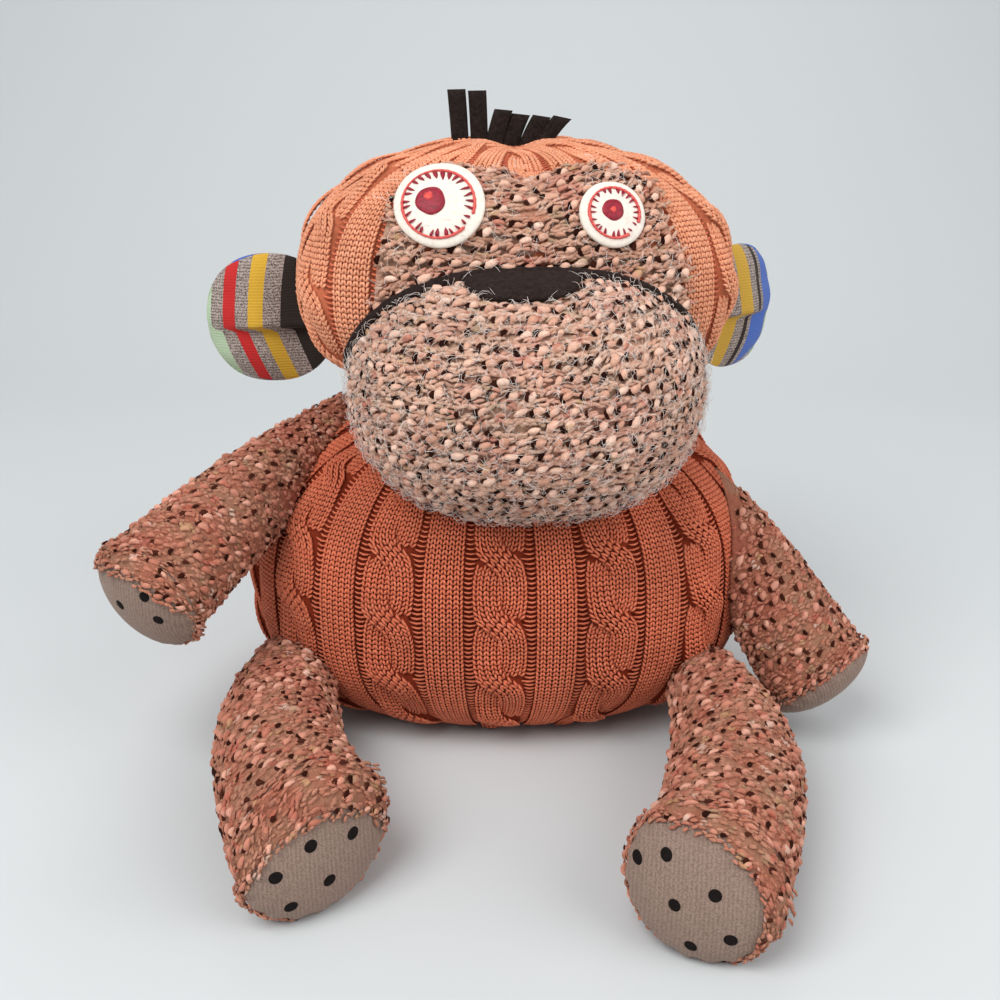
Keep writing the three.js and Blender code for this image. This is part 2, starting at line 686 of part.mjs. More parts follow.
// A leg lies forwards on the seat, turned in towards its toes.
function buildLeg(sideName, side, hipY, toeIn, turn) {
  const direction = new THREE.Vector3(-side * Math.sin(toeIn), -Math.cos(toeIn), 0);
  const limb = { ...LEG, turn, lift: side * SOLE_LIFT };
  const root = new THREE.Vector3(side * (BODY_HALF_WIDTH - HIP_INSET), hipY, HIP_Z);
  buildLimb(`${sideName}_leg`, `${sideName}_sole_pad`, limb, root, direction, side);
}

buildBody();
buildHead();
buildEye("right_eye", RIGHT_EYE_X, RIGHT_EYE_Z, RIGHT_EYE_RADIUS);
buildEye("left_eye", LEFT_EYE_X, LEFT_EYE_Z, LEFT_EYE_RADIUS);
buildEar("right", -1, RIGHT_EAR_SWEEP);
buildEar("left", 1, LEFT_EAR_SWEEP);
buildHair();
buildArm("right", -1, RIGHT_SHOULDER_Z, RIGHT_ARM_SPREAD, RIGHT_ARM_FORWARD);
buildArm("left", 1, LEFT_SHOULDER_Z, LEFT_ARM_SPREAD, LEFT_ARM_FORWARD);
buildLeg("right", -1, RIGHT_HIP_Y, RIGHT_LEG_TOE_IN, RIGHT_SOLE_TURN);
buildLeg("left", 1, LEFT_HIP_Y, LEFT_LEG_TOE_IN, LEFT_SOLE_TURN);

export default monkey;
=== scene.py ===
import json
import logging
from dataclasses import dataclass, field, replace
from enum import Enum
from math import atan2, cos, hypot, pi, radians, sin, tan, tanh
from typing import Callable, Iterable, Optional, Sequence

import bpy
import numpy as np
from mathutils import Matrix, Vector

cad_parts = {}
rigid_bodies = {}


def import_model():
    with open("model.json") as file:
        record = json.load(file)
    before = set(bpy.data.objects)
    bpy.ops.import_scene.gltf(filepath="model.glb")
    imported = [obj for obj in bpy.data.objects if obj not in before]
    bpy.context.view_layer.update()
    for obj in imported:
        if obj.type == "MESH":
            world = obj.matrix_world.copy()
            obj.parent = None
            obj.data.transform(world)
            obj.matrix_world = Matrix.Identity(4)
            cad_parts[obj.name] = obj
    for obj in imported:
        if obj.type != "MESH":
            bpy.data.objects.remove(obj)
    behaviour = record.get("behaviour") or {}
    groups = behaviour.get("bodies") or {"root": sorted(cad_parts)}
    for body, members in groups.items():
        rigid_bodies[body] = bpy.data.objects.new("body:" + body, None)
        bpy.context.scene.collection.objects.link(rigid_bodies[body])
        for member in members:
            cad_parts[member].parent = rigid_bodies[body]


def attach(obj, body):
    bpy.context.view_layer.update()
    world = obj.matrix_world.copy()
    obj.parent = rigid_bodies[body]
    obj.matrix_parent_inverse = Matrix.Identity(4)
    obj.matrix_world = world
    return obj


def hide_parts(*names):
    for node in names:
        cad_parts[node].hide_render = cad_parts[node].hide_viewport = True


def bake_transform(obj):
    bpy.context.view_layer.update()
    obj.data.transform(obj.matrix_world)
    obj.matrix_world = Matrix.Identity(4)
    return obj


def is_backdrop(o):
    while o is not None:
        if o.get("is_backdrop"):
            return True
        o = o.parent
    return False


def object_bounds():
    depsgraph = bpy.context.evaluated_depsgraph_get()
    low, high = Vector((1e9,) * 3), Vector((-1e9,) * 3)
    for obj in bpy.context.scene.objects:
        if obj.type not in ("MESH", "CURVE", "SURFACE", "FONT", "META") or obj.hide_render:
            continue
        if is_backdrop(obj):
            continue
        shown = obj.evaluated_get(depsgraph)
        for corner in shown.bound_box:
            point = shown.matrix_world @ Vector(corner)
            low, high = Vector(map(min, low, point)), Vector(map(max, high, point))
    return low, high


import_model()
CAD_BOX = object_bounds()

LOG = logging.getLogger("plush_monkey")
MM = 0.001
TURN = 2 * pi
Array = np.ndarray
Pair = tuple[float, float]
Triple = tuple[float, float, float]
Faces = list[tuple[int, ...]]
Skin = tuple[Array, Faces]
Stops = Sequence[tuple[float, Optional[str]]]
Layers = Sequence[Pair]
Seam = tuple[Array, Array]
Surface = Callable[[Array, Array], Array]
Socket = bpy.types.NodeSocket
Tree = bpy.types.NodeTree


class Side(Enum):
    """The monkey's own sides; the value is the sign of X."""

    RIGHT = -1
    LEFT = 1

    @property
    def word(self) -> str:
        """The side's name in piece names."""
        return self.name.lower()


# Vectors and meshes


def unit(vectors: Array) -> Array:
    """Vectors of length one."""
    return vectors / np.maximum(np.linalg.norm(vectors, axis=-1, keepdims=True), 1e-9)


def smoothstep(x: Array, low: float, high: float) -> Array:
    """A smooth rise from 0 at low to 1 at high."""
    t = np.clip((np.asarray(x, float) - low) / (high - low), 0.0, 1.0)
    return t * t * (3.0 - 2.0 * t)


def grid_faces(rows: int, columns: int, wrap: bool = True) -> Faces:
    """Quads of a grid of points, row by row.

    Args:
        rows: Number of rows of points.
        columns: Number of points in a row.
        wrap: Whether the last column joins the first.
    Returns:
        Faces as tuples of point numbers.
    """
    quads = []
    for r in range(rows - 1):
        for c in range(columns if wrap else columns - 1):
            here, below, beside = r * columns, (r + 1) * columns, (c + 1) % columns
            quads.append((here + c, below + c, below + beside, here + beside))
    return quads


def closed_tube(rings: Array, first: Optional[Array] = None, last: Optional[Array] = None) -> Skin:
    """Rings of points closed by one point at each end.

    Args:
        rings: Points of shape (rings, around, 3).
        first: Point that closes the first ring, if it isn't the ring's middle.
        last: Point that closes the last ring, if it isn't the ring's middle.
    Returns:
        Points and faces.
    """
    rings = np.asarray(rings)
    first = rings[0].mean(0) if first is None else first
    last = rings[-1].mean(0) if last is None else last
    count, around = rings.shape[:2]
    points = np.vstack([rings.reshape(-1, 3), first[None], last[None]])
    faces = grid_faces(count, around)
    top, end = count * around, (count - 1) * around
    for c in range(around):
        n = (c + 1) % around
        faces.append((top, c, n))
        faces.append((top + 1, end + n, end + c))
    return points, faces


def outward(points: Array, faces: Faces) -> Faces:
    """The faces of a closed skin, turned so that they point outwards.

    Args:
        points: Points of the skin.
        faces: Its faces, all in one sense.
    Returns:
        The faces in the right sense.
    """
    volume = 0.0
    for face in faces:
        a = points[face[0]]
        for b, c in zip(face[1:], face[2:]):
            volume += float(np.dot(a, np.cross(points[b], points[c])))
    return faces if volume > 0 else [face[::-1] for face in faces]


def new_piece(
    name: str, skin: Skin, finish: "Finish", attributes: Optional[dict[str, Array]] = None
) -> bpy.types.Object:
    """A closed smooth mesh object at the origin.

    Args:
        name: Name of the piece.
        skin: Points in millimetres and faces of a closed skin, in either sense.
        finish: Finish of the piece.
        attributes: Numbers or vectors for each point, by name.
    Returns:
        The new object.
    """
    mesh = bpy.data.meshes.new(name)
    mesh.from_pydata((skin[0] * MM).tolist(), [], outward(*skin))
    mesh.polygons.foreach_set("use_smooth", [True] * len(mesh.polygons))
    for key, values in (attributes or {}).items():
        store(mesh, key, values)
    mesh.materials.append(finish.material())
    mesh.validate()
    piece = bpy.data.objects.new(name, mesh)
    bpy.context.scene.collection.objects.link(piece)
    return piece


def store(mesh: bpy.types.Mesh, key: str, values: Array) -> None:
    """Stores one number, whole number or vector for each point of a mesh.

    Args:
        mesh: The mesh.
        key: Name of the attribute.
        values: Its values, point by point.
    """
    values = np.asarray(values)
    kind, slot = "INT" if values.dtype.kind == "i" else "FLOAT", "value"
    if values.ndim == 2:
        kind, slot, values = "FLOAT_VECTOR", "vector", values.astype(np.float32)
    mesh.attributes.new(key, kind, "POINT").data.foreach_set(slot, values.ravel())


def join_skins(skins: Iterable[Skin]) -> Skin:
    """Several closed skins as one, each turned outwards.

    Args:
        skins: Points and faces of each.
    Returns:
        Points and faces of all.
    """
    points, faces, start = [], [], 0
    for skin_points, skin_faces in skins:
        points.append(skin_points)
        faces += [tuple(i + start for i in face) for face in outward(skin_points, skin_faces)]
        start += len(skin_points)
    return np.vstack(points), faces


def lengths(path: Array) -> Array:
    """The length of a path from its start to each of its points."""
    return np.concatenate([[0], np.cumsum(np.linalg.norm(np.diff(path, axis=0), axis=1))])


# Forms


@dataclass(frozen=True)
class Place:
    """Where a form stands: an origin and axes in the part's frame."""

    origin: Triple = (0.0, 0.0, 0.0)
    axes: tuple[tuple[float, ...], ...] = ((1, 0, 0), (0, 1, 0), (0, 0, 1))

    @staticmethod
    def turned(origin: Sequence[float], degrees: float, under: Optional["Place"] = None) -> "Place":
        """A place turned about Z, inside another place if one is given.

        Args:
            origin: Origin of the new place.
            degrees: Turn about Z.
            under: Place that the origin and the turn are measured in.
        Returns:
            The new place in the part's frame.
        """
        c, s = cos(radians(degrees)), sin(radians(degrees))
        axes = np.array([[c, s, 0], [-s, c, 0], [0, 0, 1]])
        start = np.array(origin, float)
        if under:
            start, axes = under.world(start), axes @ np.array(under.axes)
        return Place(tuple(start), tuple(map(tuple, axes)))

    def world(self, points: Array) -> Array:
        """Points of this place in the part's frame."""
        return np.asarray(points, float) @ np.array(self.axes) + np.array(self.origin)

    def local(self, points: Array) -> Array:
        """Points of the part's frame in this place."""
        return (np.asarray(points, float) - np.array(self.origin)) @ np.array(self.axes).T


@dataclass(frozen=True)
class Bag:
    """A stuffed bag: a rounded box with its own half-size and fullness along each axis."""

    half_width: float
    front: float
    back: float
    rise: float
    drop: float
    powers: Triple
    place: Place = Place()
    cleft: Pair = (0.0, 1.0)

    # How far a cast looks ahead in millimetres, its steps, and how often each search halves its bracket.
    CAST_MM, CAST_STEPS, CAST_HALVINGS, REACH_HALVINGS = 120, 481, 20, 60

    def sizes(self, direction: Array, grow: float) -> Array:
        """Half-sizes on the side that each direction points to.

        Args:
            direction: Directions in the bag's own axes.
            grow: Distance outside the bag.
        Returns:
            Half-sizes along X, Y and Z.
        """
        x = np.full(direction.shape[:-1], self.half_width)
        y = np.where(direction[..., 1] < 0, self.front, self.back)
        z = np.where(direction[..., 2] > 0, self.rise, self.drop)
        return np.stack([x, y, z], -1) + grow

    def reach(self, shares: Array) -> Array:
        """Searches for the bag's surface.

        Args:
            shares: Points as shares of the half-sizes.
        Returns:
            The factor that brings each of them to the surface.
        """
        low, high = np.full(shares.shape[:-1], 1e-4), np.full(shares.shape[:-1], 1e3)
        for _ in range(self.REACH_HALVINGS):
            middle = np.sqrt(low * high)
            full = sum((middle * np.abs(shares[..., i])) ** self.powers[i] for i in range(3))
            low, high = np.where(full < 1, middle, low), np.where(full < 1, high, middle)
        return np.sqrt(low * high)

    def at(self, longitude: Array, polar: Array, grow: float = 0.0) -> Array:
        """Points of the surface.

        Args:
            longitude: Angle from the front towards +X.
            polar: Angle from the top.
            grow: Distance outside the bag.
        Returns:
            Points in the part's frame.
        """
        sine = np.sin(polar)
        direction = np.stack([sine * np.sin(longitude), -sine * np.cos(longitude), np.cos(polar)], -1)
        local = direction * self.reach(direction)[..., None] * self.sizes(direction, grow)
        depth, width = self.cleft
        lift = smoothstep(local[..., 2], 0, self.rise)
        local[..., 2] -= depth * lift * np.exp(-((local[..., 0] / width) ** 2))
        return self.place.world(local)

    def fullness(self, points: Array, grow: float = 0.0) -> Array:
        """Tells which points lie inside the bag.

        Args:
            points: Points in the part's frame.
            grow: Distance outside the bag.
        Returns:
            Below 1 inside the bag, above 1 outside.
        """
        local = self.place.local(points)
        shares = np.abs(local / self.sizes(local, grow))
        return sum(shares[..., i] ** self.powers[i] for i in range(3))

    def pushed_out(self, points: Array, grow: float = 0.0) -> Array:
        """Points that lie inside the bag moved out to its surface, away from its middle.

        Args:
            points: Points in the part's frame.
            grow: Distance outside the bag.
        Returns:
            The moved points.
        """
        local = self.place.local(points)
        local = local + (np.abs(local).sum(-1, keepdims=True) < 1e-6) * 1e-3
        factor = np.maximum(self.reach(local / self.sizes(local, grow)), 1.0)
        return self.place.world(local * factor[..., None])

    def cast(self, points: Array, direction: Array, grow: float = 0.0) -> Array:
        """Points outside the bag moved along a direction until they meet its surface.

        Args:
            points: Points in the part's frame.
            direction: Unit vector that they move along.
            grow: Distance outside the bag at which they stop.
        Returns:
            Points on the surface, or at the closest approach where they miss it.
        """
        steps = np.linspace(0, self.CAST_MM, self.CAST_STEPS)
        path = points[:, None, :] + steps[None, :, None] * direction
        full = self.fullness(path, grow)
        hit = np.where((full < 1).any(1), (full < 1).argmax(1), full.argmin(1))
        low, high = steps[np.maximum(hit - 1, 0)], steps[hit]
        for _ in range(self.CAST_HALVINGS):
            middle = (low + high) / 2
            out = self.fullness(points + middle[:, None] * direction, grow) > 1
            low, high = np.where(out, middle, low), np.where(out, high, middle)
        return points + ((low + high) / 2)[:, None] * direction


class BagMap:
    """Even measures on a bag: shares of the way round, and millimetres down from the top."""

    # Longitudes along which the way down is measured, and how near the poles it starts, in radians.
    SIDES = (0.0, 0.8, 1.6, 2.4, pi)
    POLE = 0.004

    def __init__(self, bag: Bag) -> None:
        """Measures the bag's girth and its side from top to bottom."""
        self.bag = bag
        self._turns = np.linspace(-pi, pi, 1441)
        self._girth = lengths(bag.at(self._turns, np.full_like(self._turns, pi / 2)))
        self._polar = np.linspace(self.POLE, pi - self.POLE, 721)
        sides = [bag.at(np.full_like(self._polar, turn), self._polar) for turn in self.SIDES]
        self._drops = np.mean([lengths(side) for side in sides], axis=0)

    @property
    def girth(self) -> float:
        """Length round the widest level."""
        return float(self._girth[-1])

    @property
    def fall(self) -> float:
        """Length from the top to the bottom over the surface."""
        return float(self._drops[-1])

    def at(self, around: Array, down: Array, grow: float = 0.0) -> Array:
        """Points of the surface.

        Args:
            around: Share of the way round, 0 at the front, rising towards +X.
            down: Millimetres from the top.
            grow: Distance outside the bag.
        Returns:
            Points in the part's frame.
        """
        share = (np.asarray(around, float) + 0.5) % 1.0
        longitude = np.interp(share * self.girth, self._girth, self._turns)
        polar = np.interp(down, self._drops, self._polar)
        return self.bag.at(longitude, polar, grow)


@dataclass(frozen=True)
class Limb:
    """A stuffed tube that swells from its root to its end, bows outwards and ends in a slanted dome."""

    side: Side
    root: Triple
    direction: Triple
    length: float
    radii: Triple
    bow: float
    dome: float
    sunk: float
    turn: float = 0.0
    lift: float = 0.0

    @property
    def straight(self) -> float:
        """Length up to the dome."""
        return self.length - self.dome

    @property
    def place(self) -> Place:
        """The limb's own axes: outwards, across and up towards the root.

        Returns:
            The place of its root.
        """
        direction = np.array(self.direction)
        up = -direction
        out = np.array([self.side.value, 0.0, 0.0])
        out = unit(out - up * out.dot(up))
        axes = np.array([out, np.cross(up, out), up])
        return Place(tuple(np.array(self.root) - direction * self.sunk), tuple(map(tuple, axes)))

    def radius(self, along: Array) -> Array:
        """The limb's radius, through three stations on one smooth curve.

        Args:
            along: Millimetres from the root.
        Returns:
            Radius at each length.
        """
        t = np.linspace(0, 1, 60)
        h = [2 * t**3 - 3 * t**2 + 1, t**3 - 2 * t**2 + t, -2 * t**3 + 3 * t**2, t**3 - t**2]
        half = self.straight / 2
        curve = []
        for stations in ((0, half, 2 * half), self.radii):
            a, b, c = stations
            first = h[0] * a + h[1] * (b - a) / 2 + h[2] * b + h[3] * (c - a) / 2
            second = h[0] * b + h[1] * (c - a) / 2 + h[2] * c + h[3] * (c - b) / 2
            curve.append(np.concatenate([first, second[1:]]))
        side = np.interp(np.minimum(along, self.straight), curve[0], curve[1])
        share = np.clip((np.asarray(along, float) - self.straight) / self.dome, 0, 1)
        return side * np.sqrt(1 - share**2)

    def at(self, around: Array, along: Array, grow: float = 0.0) -> Array:
        """Points of the surface.

        Args:
            around: Share of the way round.
            along: Millimetres from the root.
            grow: Distance outside the limb.
        Returns:
            Points in the part's frame.
        """
        along = np.asarray(along, float)
        domed = np.clip((along - self.straight) / self.dome, 0, 1)
        radius = self.radius(along) + grow * np.sqrt(1 - domed**2)
        angle = TURN * np.asarray(around, float)
        x, y = radius * np.cos(angle), radius * np.sin(angle)
        slant = smoothstep(along, self.length / 2, self.straight)
        slant = slant * (tan(self.turn) * x + tan(self.lift) * y)
        share = along / self.length
        local = np.stack([x + 4 * self.bow * share * (1 - share), y, -along - slant - grow * domed], -1)
        return self.place.world(local)

    def clear_of(self, bag: Bag, around: Array, grow: float) -> Array:
        """The length along each line of the limb at which it leaves a bag.

        Args:
            bag: Bag that the limb is sewn to.
            around: Shares of the way round.
            grow: Distance kept outside the bag.
        Returns:
            Millimetres from the root.
        """
        along = np.arange(0, self.straight, 0.5)
        points = self.at(around[:, None], np.broadcast_to(along, (len(around), len(along))))
        inside = bag.fullness(points, grow) < 1
        last = len(along) - 1 - inside[:, ::-1].argmax(1)
        return np.where(inside.any(1), along[last] + 0.5, 0.0)


@dataclass
class Spots:
    """Places on a surface with the directions that stitches are set by."""

    points: Array
    across: Array
    up: Array
    normal: Array
    width: Array
    height: Array

    @staticmethod
    def on(
        surface: Surface, around: Array, down: Array, width: float, height: float, core: Array
    ) -> "Spots":
        """Measures a surface at some places.

        Args:
            surface: Gives points from shares of the way round and millimetres down.
            around: Shares of the way round.
            down: Millimetres down.
            width: Share of the way round that counts as one stitch.
            height: Millimetres that count as one stitch.
            core: A point inside the form, or one for each place.
        Returns:
            Places with unit directions and the true size of one stitch.
        """
        step, drop = 1e-4, 0.05
        points = surface(around, down)
        across = (surface(around + step, down) - surface(around - step, down)) / (2 * step)
        fall = (surface(around, down + drop) - surface(around, down - drop)) / (2 * drop)
        normal = unit(np.cross(fall, across))
        flip = np.sign(np.sum(normal * (points - core), -1, keepdims=True))
        wide, tall = np.linalg.norm(across, axis=-1) * width, np.linalg.norm(fall, axis=-1) * height
        return Spots(points, unit(across), -unit(fall), normal * flip, wide, tall)

    def kept(self, mask: Array) -> "Spots":
        """The places that a mask keeps."""
        return Spots(*(values[mask] for values in vars(self).values()))

    def raised(self, height: Array) -> "Spots":
        """The same places moved out along their normals."""
        return replace(self, points=self.points + self.normal * np.asarray(height)[..., None])


def joined(parts: Sequence[Spots]) -> Spots:
    """Several lists of places as one."""
    return Spots(*map(np.concatenate, zip(*(vars(part).values() for part in parts))))


# Materials


def linear(colour: str) -> tuple[float, float, float, float]:
    """An sRGB hex colour as linear RGBA."""
    values = [int(colour[i : i + 2], 16) / 255 for i in (1, 3, 5)]
    return tuple(v / 12.92 if v <= 0.04045 else ((v + 0.055) / 1.055) ** 2.4 for v in values) + (1.0,)


def add_node(tree: Tree, kind: str, links: Optional[dict] = None, **settings: object) -> bpy.types.Node:
    """Adds one node.

    Args:
        tree: Tree that gets the node.
        kind: Blender's name for the node.
        links: Sockets by name or number, with what feeds them: another node's socket or a value.
        settings: The node's own properties.
    Returns:
        The new node.
    """
    node = tree.nodes.new(kind)
    for key, value in settings.items():
        setattr(node, key, value)
    for key, source in (links or {}).items():
        if isinstance(source, Socket):
            tree.links.new(source, node.inputs[key])
        else:
            node.inputs[key].default_value = source
    return node


def output(tree: Tree, kind: str, links: dict, **settings: object) -> Socket:
    """The first output of a new node."""
    return add_node(tree, kind, links, **settings).outputs[0]


def arithmetic(tree: Tree, operation: str, *values: object) -> Socket:
    """One operation on sockets or numbers."""
    return output(tree, "ShaderNodeMath", dict(enumerate(values)), operation=operation)


def attribute(tree: Tree, name: str) -> Socket:
    """A number that is stored on the mesh."""
    return add_node(tree, "ShaderNodeAttribute", attribute_name=name).outputs["Fac"]


def noise(tree: Tree, place: Socket, spacing_mm: float, detail: float, **more: float) -> Socket:
    """Noise at a real spacing: it repeats at about its cell, so its scale is one over that in metres."""
    links = {"Vector": place, "Scale": 1 / (spacing_mm * MM), "Detail": detail, **more}
    return add_node(tree, "ShaderNodeTexNoise", links).outputs["Fac"]


def mixed(tree: Tree, factor: object, first: Socket, second: Socket, blend: str = "MIX") -> Socket:
    """Two colours mixed by a factor."""
    links = {"Factor": factor, 6: first, 7: second}
    return add_node(tree, "ShaderNodeMix", links, data_type="RGBA", blend_type=blend).outputs[2]


def ramp(tree: Tree, factor: Socket, stops: Stops, constant: bool = False) -> Socket:
    """Colours along a factor.

    Args:
        tree: Tree that gets the ramp.
        factor: What the colours follow.
        stops: Positions with hex colours.
        constant: Whether each colour goes on to the next stop.
    Returns:
        The colour.
    """
    node = add_node(tree, "ShaderNodeValToRGB", {"Fac": factor})
    node.color_ramp.interpolation = "CONSTANT" if constant else "LINEAR"
    elements = node.color_ramp.elements
    while len(elements) < len(stops):
        elements.new(1.0)
    for element, (position, colour) in zip(elements, stops):
        element.position = position
        element.color = linear(colour)
    return node.outputs["Color"]


def shades(*colours: str) -> Stops:
    """Evenly spaced stops."""
    return tuple((number / (len(colours) - 1), colour) for number, colour in enumerate(colours))


@dataclass(frozen=True)
class Finish:
    """A fibre surface: a colour graph, a fibre bump and the gloss that its fibres give."""

    name: str
    roughness: float
    sheen: float
    sheen_tint: str
    specular: float
    fibre_mm: float
    bump_mm: float

    def colour(self, tree: Tree, place: Socket) -> Socket:
        """The colour graph. Each kind of finish draws its own."""
        raise NotImplementedError

    def relief(self, tree: Tree, place: Socket) -> Socket:
        """Height of the fibres: noise as coarse as the render can show."""
        return noise(tree, place, self.fibre_mm, 3.0, Roughness=0.65)

    def material(self) -> bpy.types.Material:
        """The Blender material, made on first use.

        Returns:
            The material.
        """
        made = bpy.data.materials.get(self.name)
        if made:
            return made
        made = bpy.data.materials.new(self.name)
        made.use_nodes = True
        tree = made.node_tree
        tree.nodes.clear()
        place = add_node(tree, "ShaderNodeTexCoord").outputs["Object"]
        fibres = {"Height": self.relief(tree, place), "Distance": self.bump_mm * MM, "Strength": 1.0}
        look = {
            "Base Color": self.colour(tree, place),
            "Roughness": self.roughness,
            "Specular IOR Level": self.specular,
            "Sheen Weight": self.sheen,
            "Sheen Roughness": 0.45,
            "Sheen Tint": linear(self.sheen_tint),
            "Normal": add_node(tree, "ShaderNodeBump", fibres).outputs["Normal"],
        }
        shader = add_node(tree, "ShaderNodeBsdfPrincipled", look)
        add_node(tree, "ShaderNodeOutputMaterial", {"Surface": shader.outputs["BSDF"]})
        return made


@dataclass(frozen=True)
class KnittingWool(Finish):
    """Plied knitting wool: each stitch a shade of one dye, with paler fibre tips."""

    stops: Stops = ()
    flecks: Stops = ()
    fleck_share: float = 0.25
    casts: Stops = ()

    def colour(self, tree: Tree, place: Socket) -> Socket:
        """Shade by stitch, mottled by patches and fibres.

        Args:
            tree: Tree of the material.
            place: Where each point lies.
        Returns:
            The colour.
        """
        dye = ramp(tree, attribute(tree, "tint"), self.stops)
        fibres = noise(tree, place, self.fibre_mm * 1.6, 2.0)
        # Soft patches about 25 mm across, as wear and handling leave in a knit.
        patches = noise(tree, place, 25, 1.0)
        mottle = {0: arithmetic(tree, "ADD", fibres, patches), 1: 0.7, 2: 1.3, 3: 0.84, 4: 1.14}
        shade = output(tree, "ShaderNodeMapRange", mottle)
        shaded = output(tree, "ShaderNodeVectorMath", {0: dye, "Scale": shade}, operation="SCALE")
        if self.casts:
            # The dye of a tweed yarn drifts, which leaves casts of other shades about 20 mm across.
            shaded = mixed(tree, 0.4, shaded, ramp(tree, noise(tree, place, 20, 2.0), self.casts))
        if not self.flecks:
            return shaded
        # Flecks of other dyes about 3 mm long, spun into the yarn.
        cells = add_node(tree, "ShaderNodeTexVoronoi", {"Vector": place, "Scale": 1 / (3.2 * MM)})
        parts = add_node(tree, "ShaderNodeSeparateColor", {"Color": cells.outputs["Color"]}).outputs
        dyes = ramp(tree, parts["Red"], self.flecks, constant=True)
        some = arithmetic(tree, "LESS_THAN", parts["Green"], self.fleck_share)
        return mixed(tree, arithmetic(tree, "MULTIPLY", some, 0.45), shaded, dyes)


@dataclass(frozen=True)
class Jersey(Finish):
    """Fine marl jersey: two plies of different greys, with bands of dyed rows where it is striped."""

    light: str = "#B9ACA2"
    dark: str = "#6F645E"
    bands: Stops = ()
    reach_mm: float = 1.0
    wale_mm: float = 1.2

    def colour(self, tree: Tree, place: Socket) -> Socket:
        """Marl specks, then bands by the piece's own measure from its seam.

        Args:
            tree: Tree of the material.
            place: Where each point lies.
        Returns:
            The colour.
        """
        specks = noise(tree, place, self.fibre_mm, 2.0)
        lined = arithmetic(tree, "MULTIPLY_ADD", self.wales(tree), 0.06, specks)
        marl = ramp(tree, lined, ((0.38, self.dark), (0.62, self.light)))
        if not self.bands:
            return marl
        share = arithmetic(tree, "DIVIDE", attribute(tree, "band_mm"), self.reach_mm)
        dyes = [(start / self.reach_mm, colour or self.light) for start, colour in self.bands]
        bare = [(start / self.reach_mm, "#000000" if colour else "#FFFFFF") for start, colour in self.bands]
        specked = mixed(tree, 0.22, ramp(tree, share, dyes, constant=True), marl, "MULTIPLY")
        return mixed(tree, ramp(tree, share, bare, constant=True), specked, marl)

    def wales(self, tree: Tree) -> Socket:
        """A wave over the jersey's wales, from the piece's own measure across them."""
        turns = arithmetic(tree, "MULTIPLY", attribute(tree, "wale_mm"), TURN / self.wale_mm)
        return arithmetic(tree, "SINE", turns)

    def relief(self, tree: Tree, place: Socket) -> Socket:
        """Fine ribs of the jersey's wales under its fibres."""
        return arithmetic(tree, "MULTIPLY_ADD", self.wales(tree), 0.35, super().relief(tree, place))


@dataclass(frozen=True)
class Felt(Finish):
    """Pressed felt: matted fibres with no weave, a little lighter where they stand up."""

    light: str = "#FFFFFF"
    dark: str = "#CCCCCC"

    def colour(self, tree: Tree, place: Socket) -> Socket:
        """Two shades mixed by matted fibres."""
        mat = noise(tree, place, self.fibre_mm * 2, 4.0, Distortion=1.0)
        return ramp(tree, mat, ((0.35, self.dark), (0.68, self.light)))


# Orange wool, worsted spun: matt, round plies, lighter where fibres catch the light.
ORANGE_WOOL = KnittingWool(
    "orange_worsted_wool", 0.82, 0.22, "#F0B49A", 0.25, 0.7, 0.25, shades("#CB694A", "#D26F4F", "#D87757")
)
# The orange cloth under the stitches shows only between them; its colour is darker, as painted shade between
# the stitches.
ORANGE_WOOL_PAINTED_SHADE = KnittingWool(
    "orange_worsted_wool_inside", 0.9, 0.05, "#A05038", 0.1, 0.7, 0.25,
    shades("#7A2C18", "#88341E", "#963E26"),
)
# The crown wool is the same yarn, painted lighter as painted light from above; the painted shade between its
# stitches is lighter than the body's.
CROWN_WOOL_PAINTED_LIGHT = KnittingWool(
    "orange_worsted_wool_faded", 0.82, 0.28, "#F6C8AE", 0.25, 0.7, 0.25,
    shades("#E0936F", "#E89C76", "#EFA682"),
)
CROWN_WOOL_PAINTED_SHADE = KnittingWool(
    "orange_worsted_wool_faded_inside", 0.9, 0.1, "#C07050", 0.1, 0.7, 0.25,
    shades("#B8684A", "#C27252", "#CC7C5A"),
)
# Dyes of the flecks in the tweed yarns, and the casts that their own dye drifts through.
TWEED_FLECKS = (
    (0.0, "#A8483A"), (0.24, "#BFA070"), (0.36, "#8C8060"),
    (0.46, "#6A4A3E"), (0.72, "#DCC8B8"), (0.88, "#BC5A4C"),
)
FACE_CASTS = ((0.30, "#D2967E"), (0.45, "#CDB29A"), (0.58, "#CFA38F"), (0.72, "#CC8E7E"))
LIMB_CASTS = ((0.30, "#BC735C"), (0.45, "#B48E74"), (0.58, "#B8765E"), (0.72, "#B86656"))
# Slub yarn: thick soft lumps of pale wool that shine a little, spun with darker thread.
FACE_SLUB = KnittingWool(
    "pale_slub_wool", 0.8, 0.3, "#FFE3D2", 0.18, 0.8, 0.35,
    ((0.0, "#C8937B"), (0.35, "#D4A28A"), (0.7, "#E0B29B"), (1.0, "#EEC9B4")), TWEED_FLECKS, 0.08,
)
FACE_THREAD = KnittingWool(
    "sandy_tweed_thread", 0.88, 0.35, "#F2D6C6", 0.15, 0.7, 0.45,
    ((0.0, "#BA8770"), (0.4, "#CC9B84"), (0.75, "#DAAB95"), (1.0, "#E6BCA8")),
    TWEED_FLECKS, 0.14, FACE_CASTS,
)
BROW_THREAD = KnittingWool(
    "terracotta_tweed_thread", 0.88, 0.3, "#E8BFA8", 0.15, 0.7, 0.45,
    ((0.0, "#A06852"), (0.4, "#B47C66"), (0.75, "#C28C76"), (1.0, "#D09E8A")),
    TWEED_FLECKS, 0.16, FACE_CASTS,
)
LIMB_SLUB = KnittingWool(
    "rose_slub_wool", 0.7, 0.25, "#F6CDB8", 0.25, 0.8, 0.35,
    ((0.0, "#AE6A54"), (0.35, "#BA7862"), (0.7, "#CA8A74"), (1.0, "#DAA28C")), TWEED_FLECKS, 0.1,
)
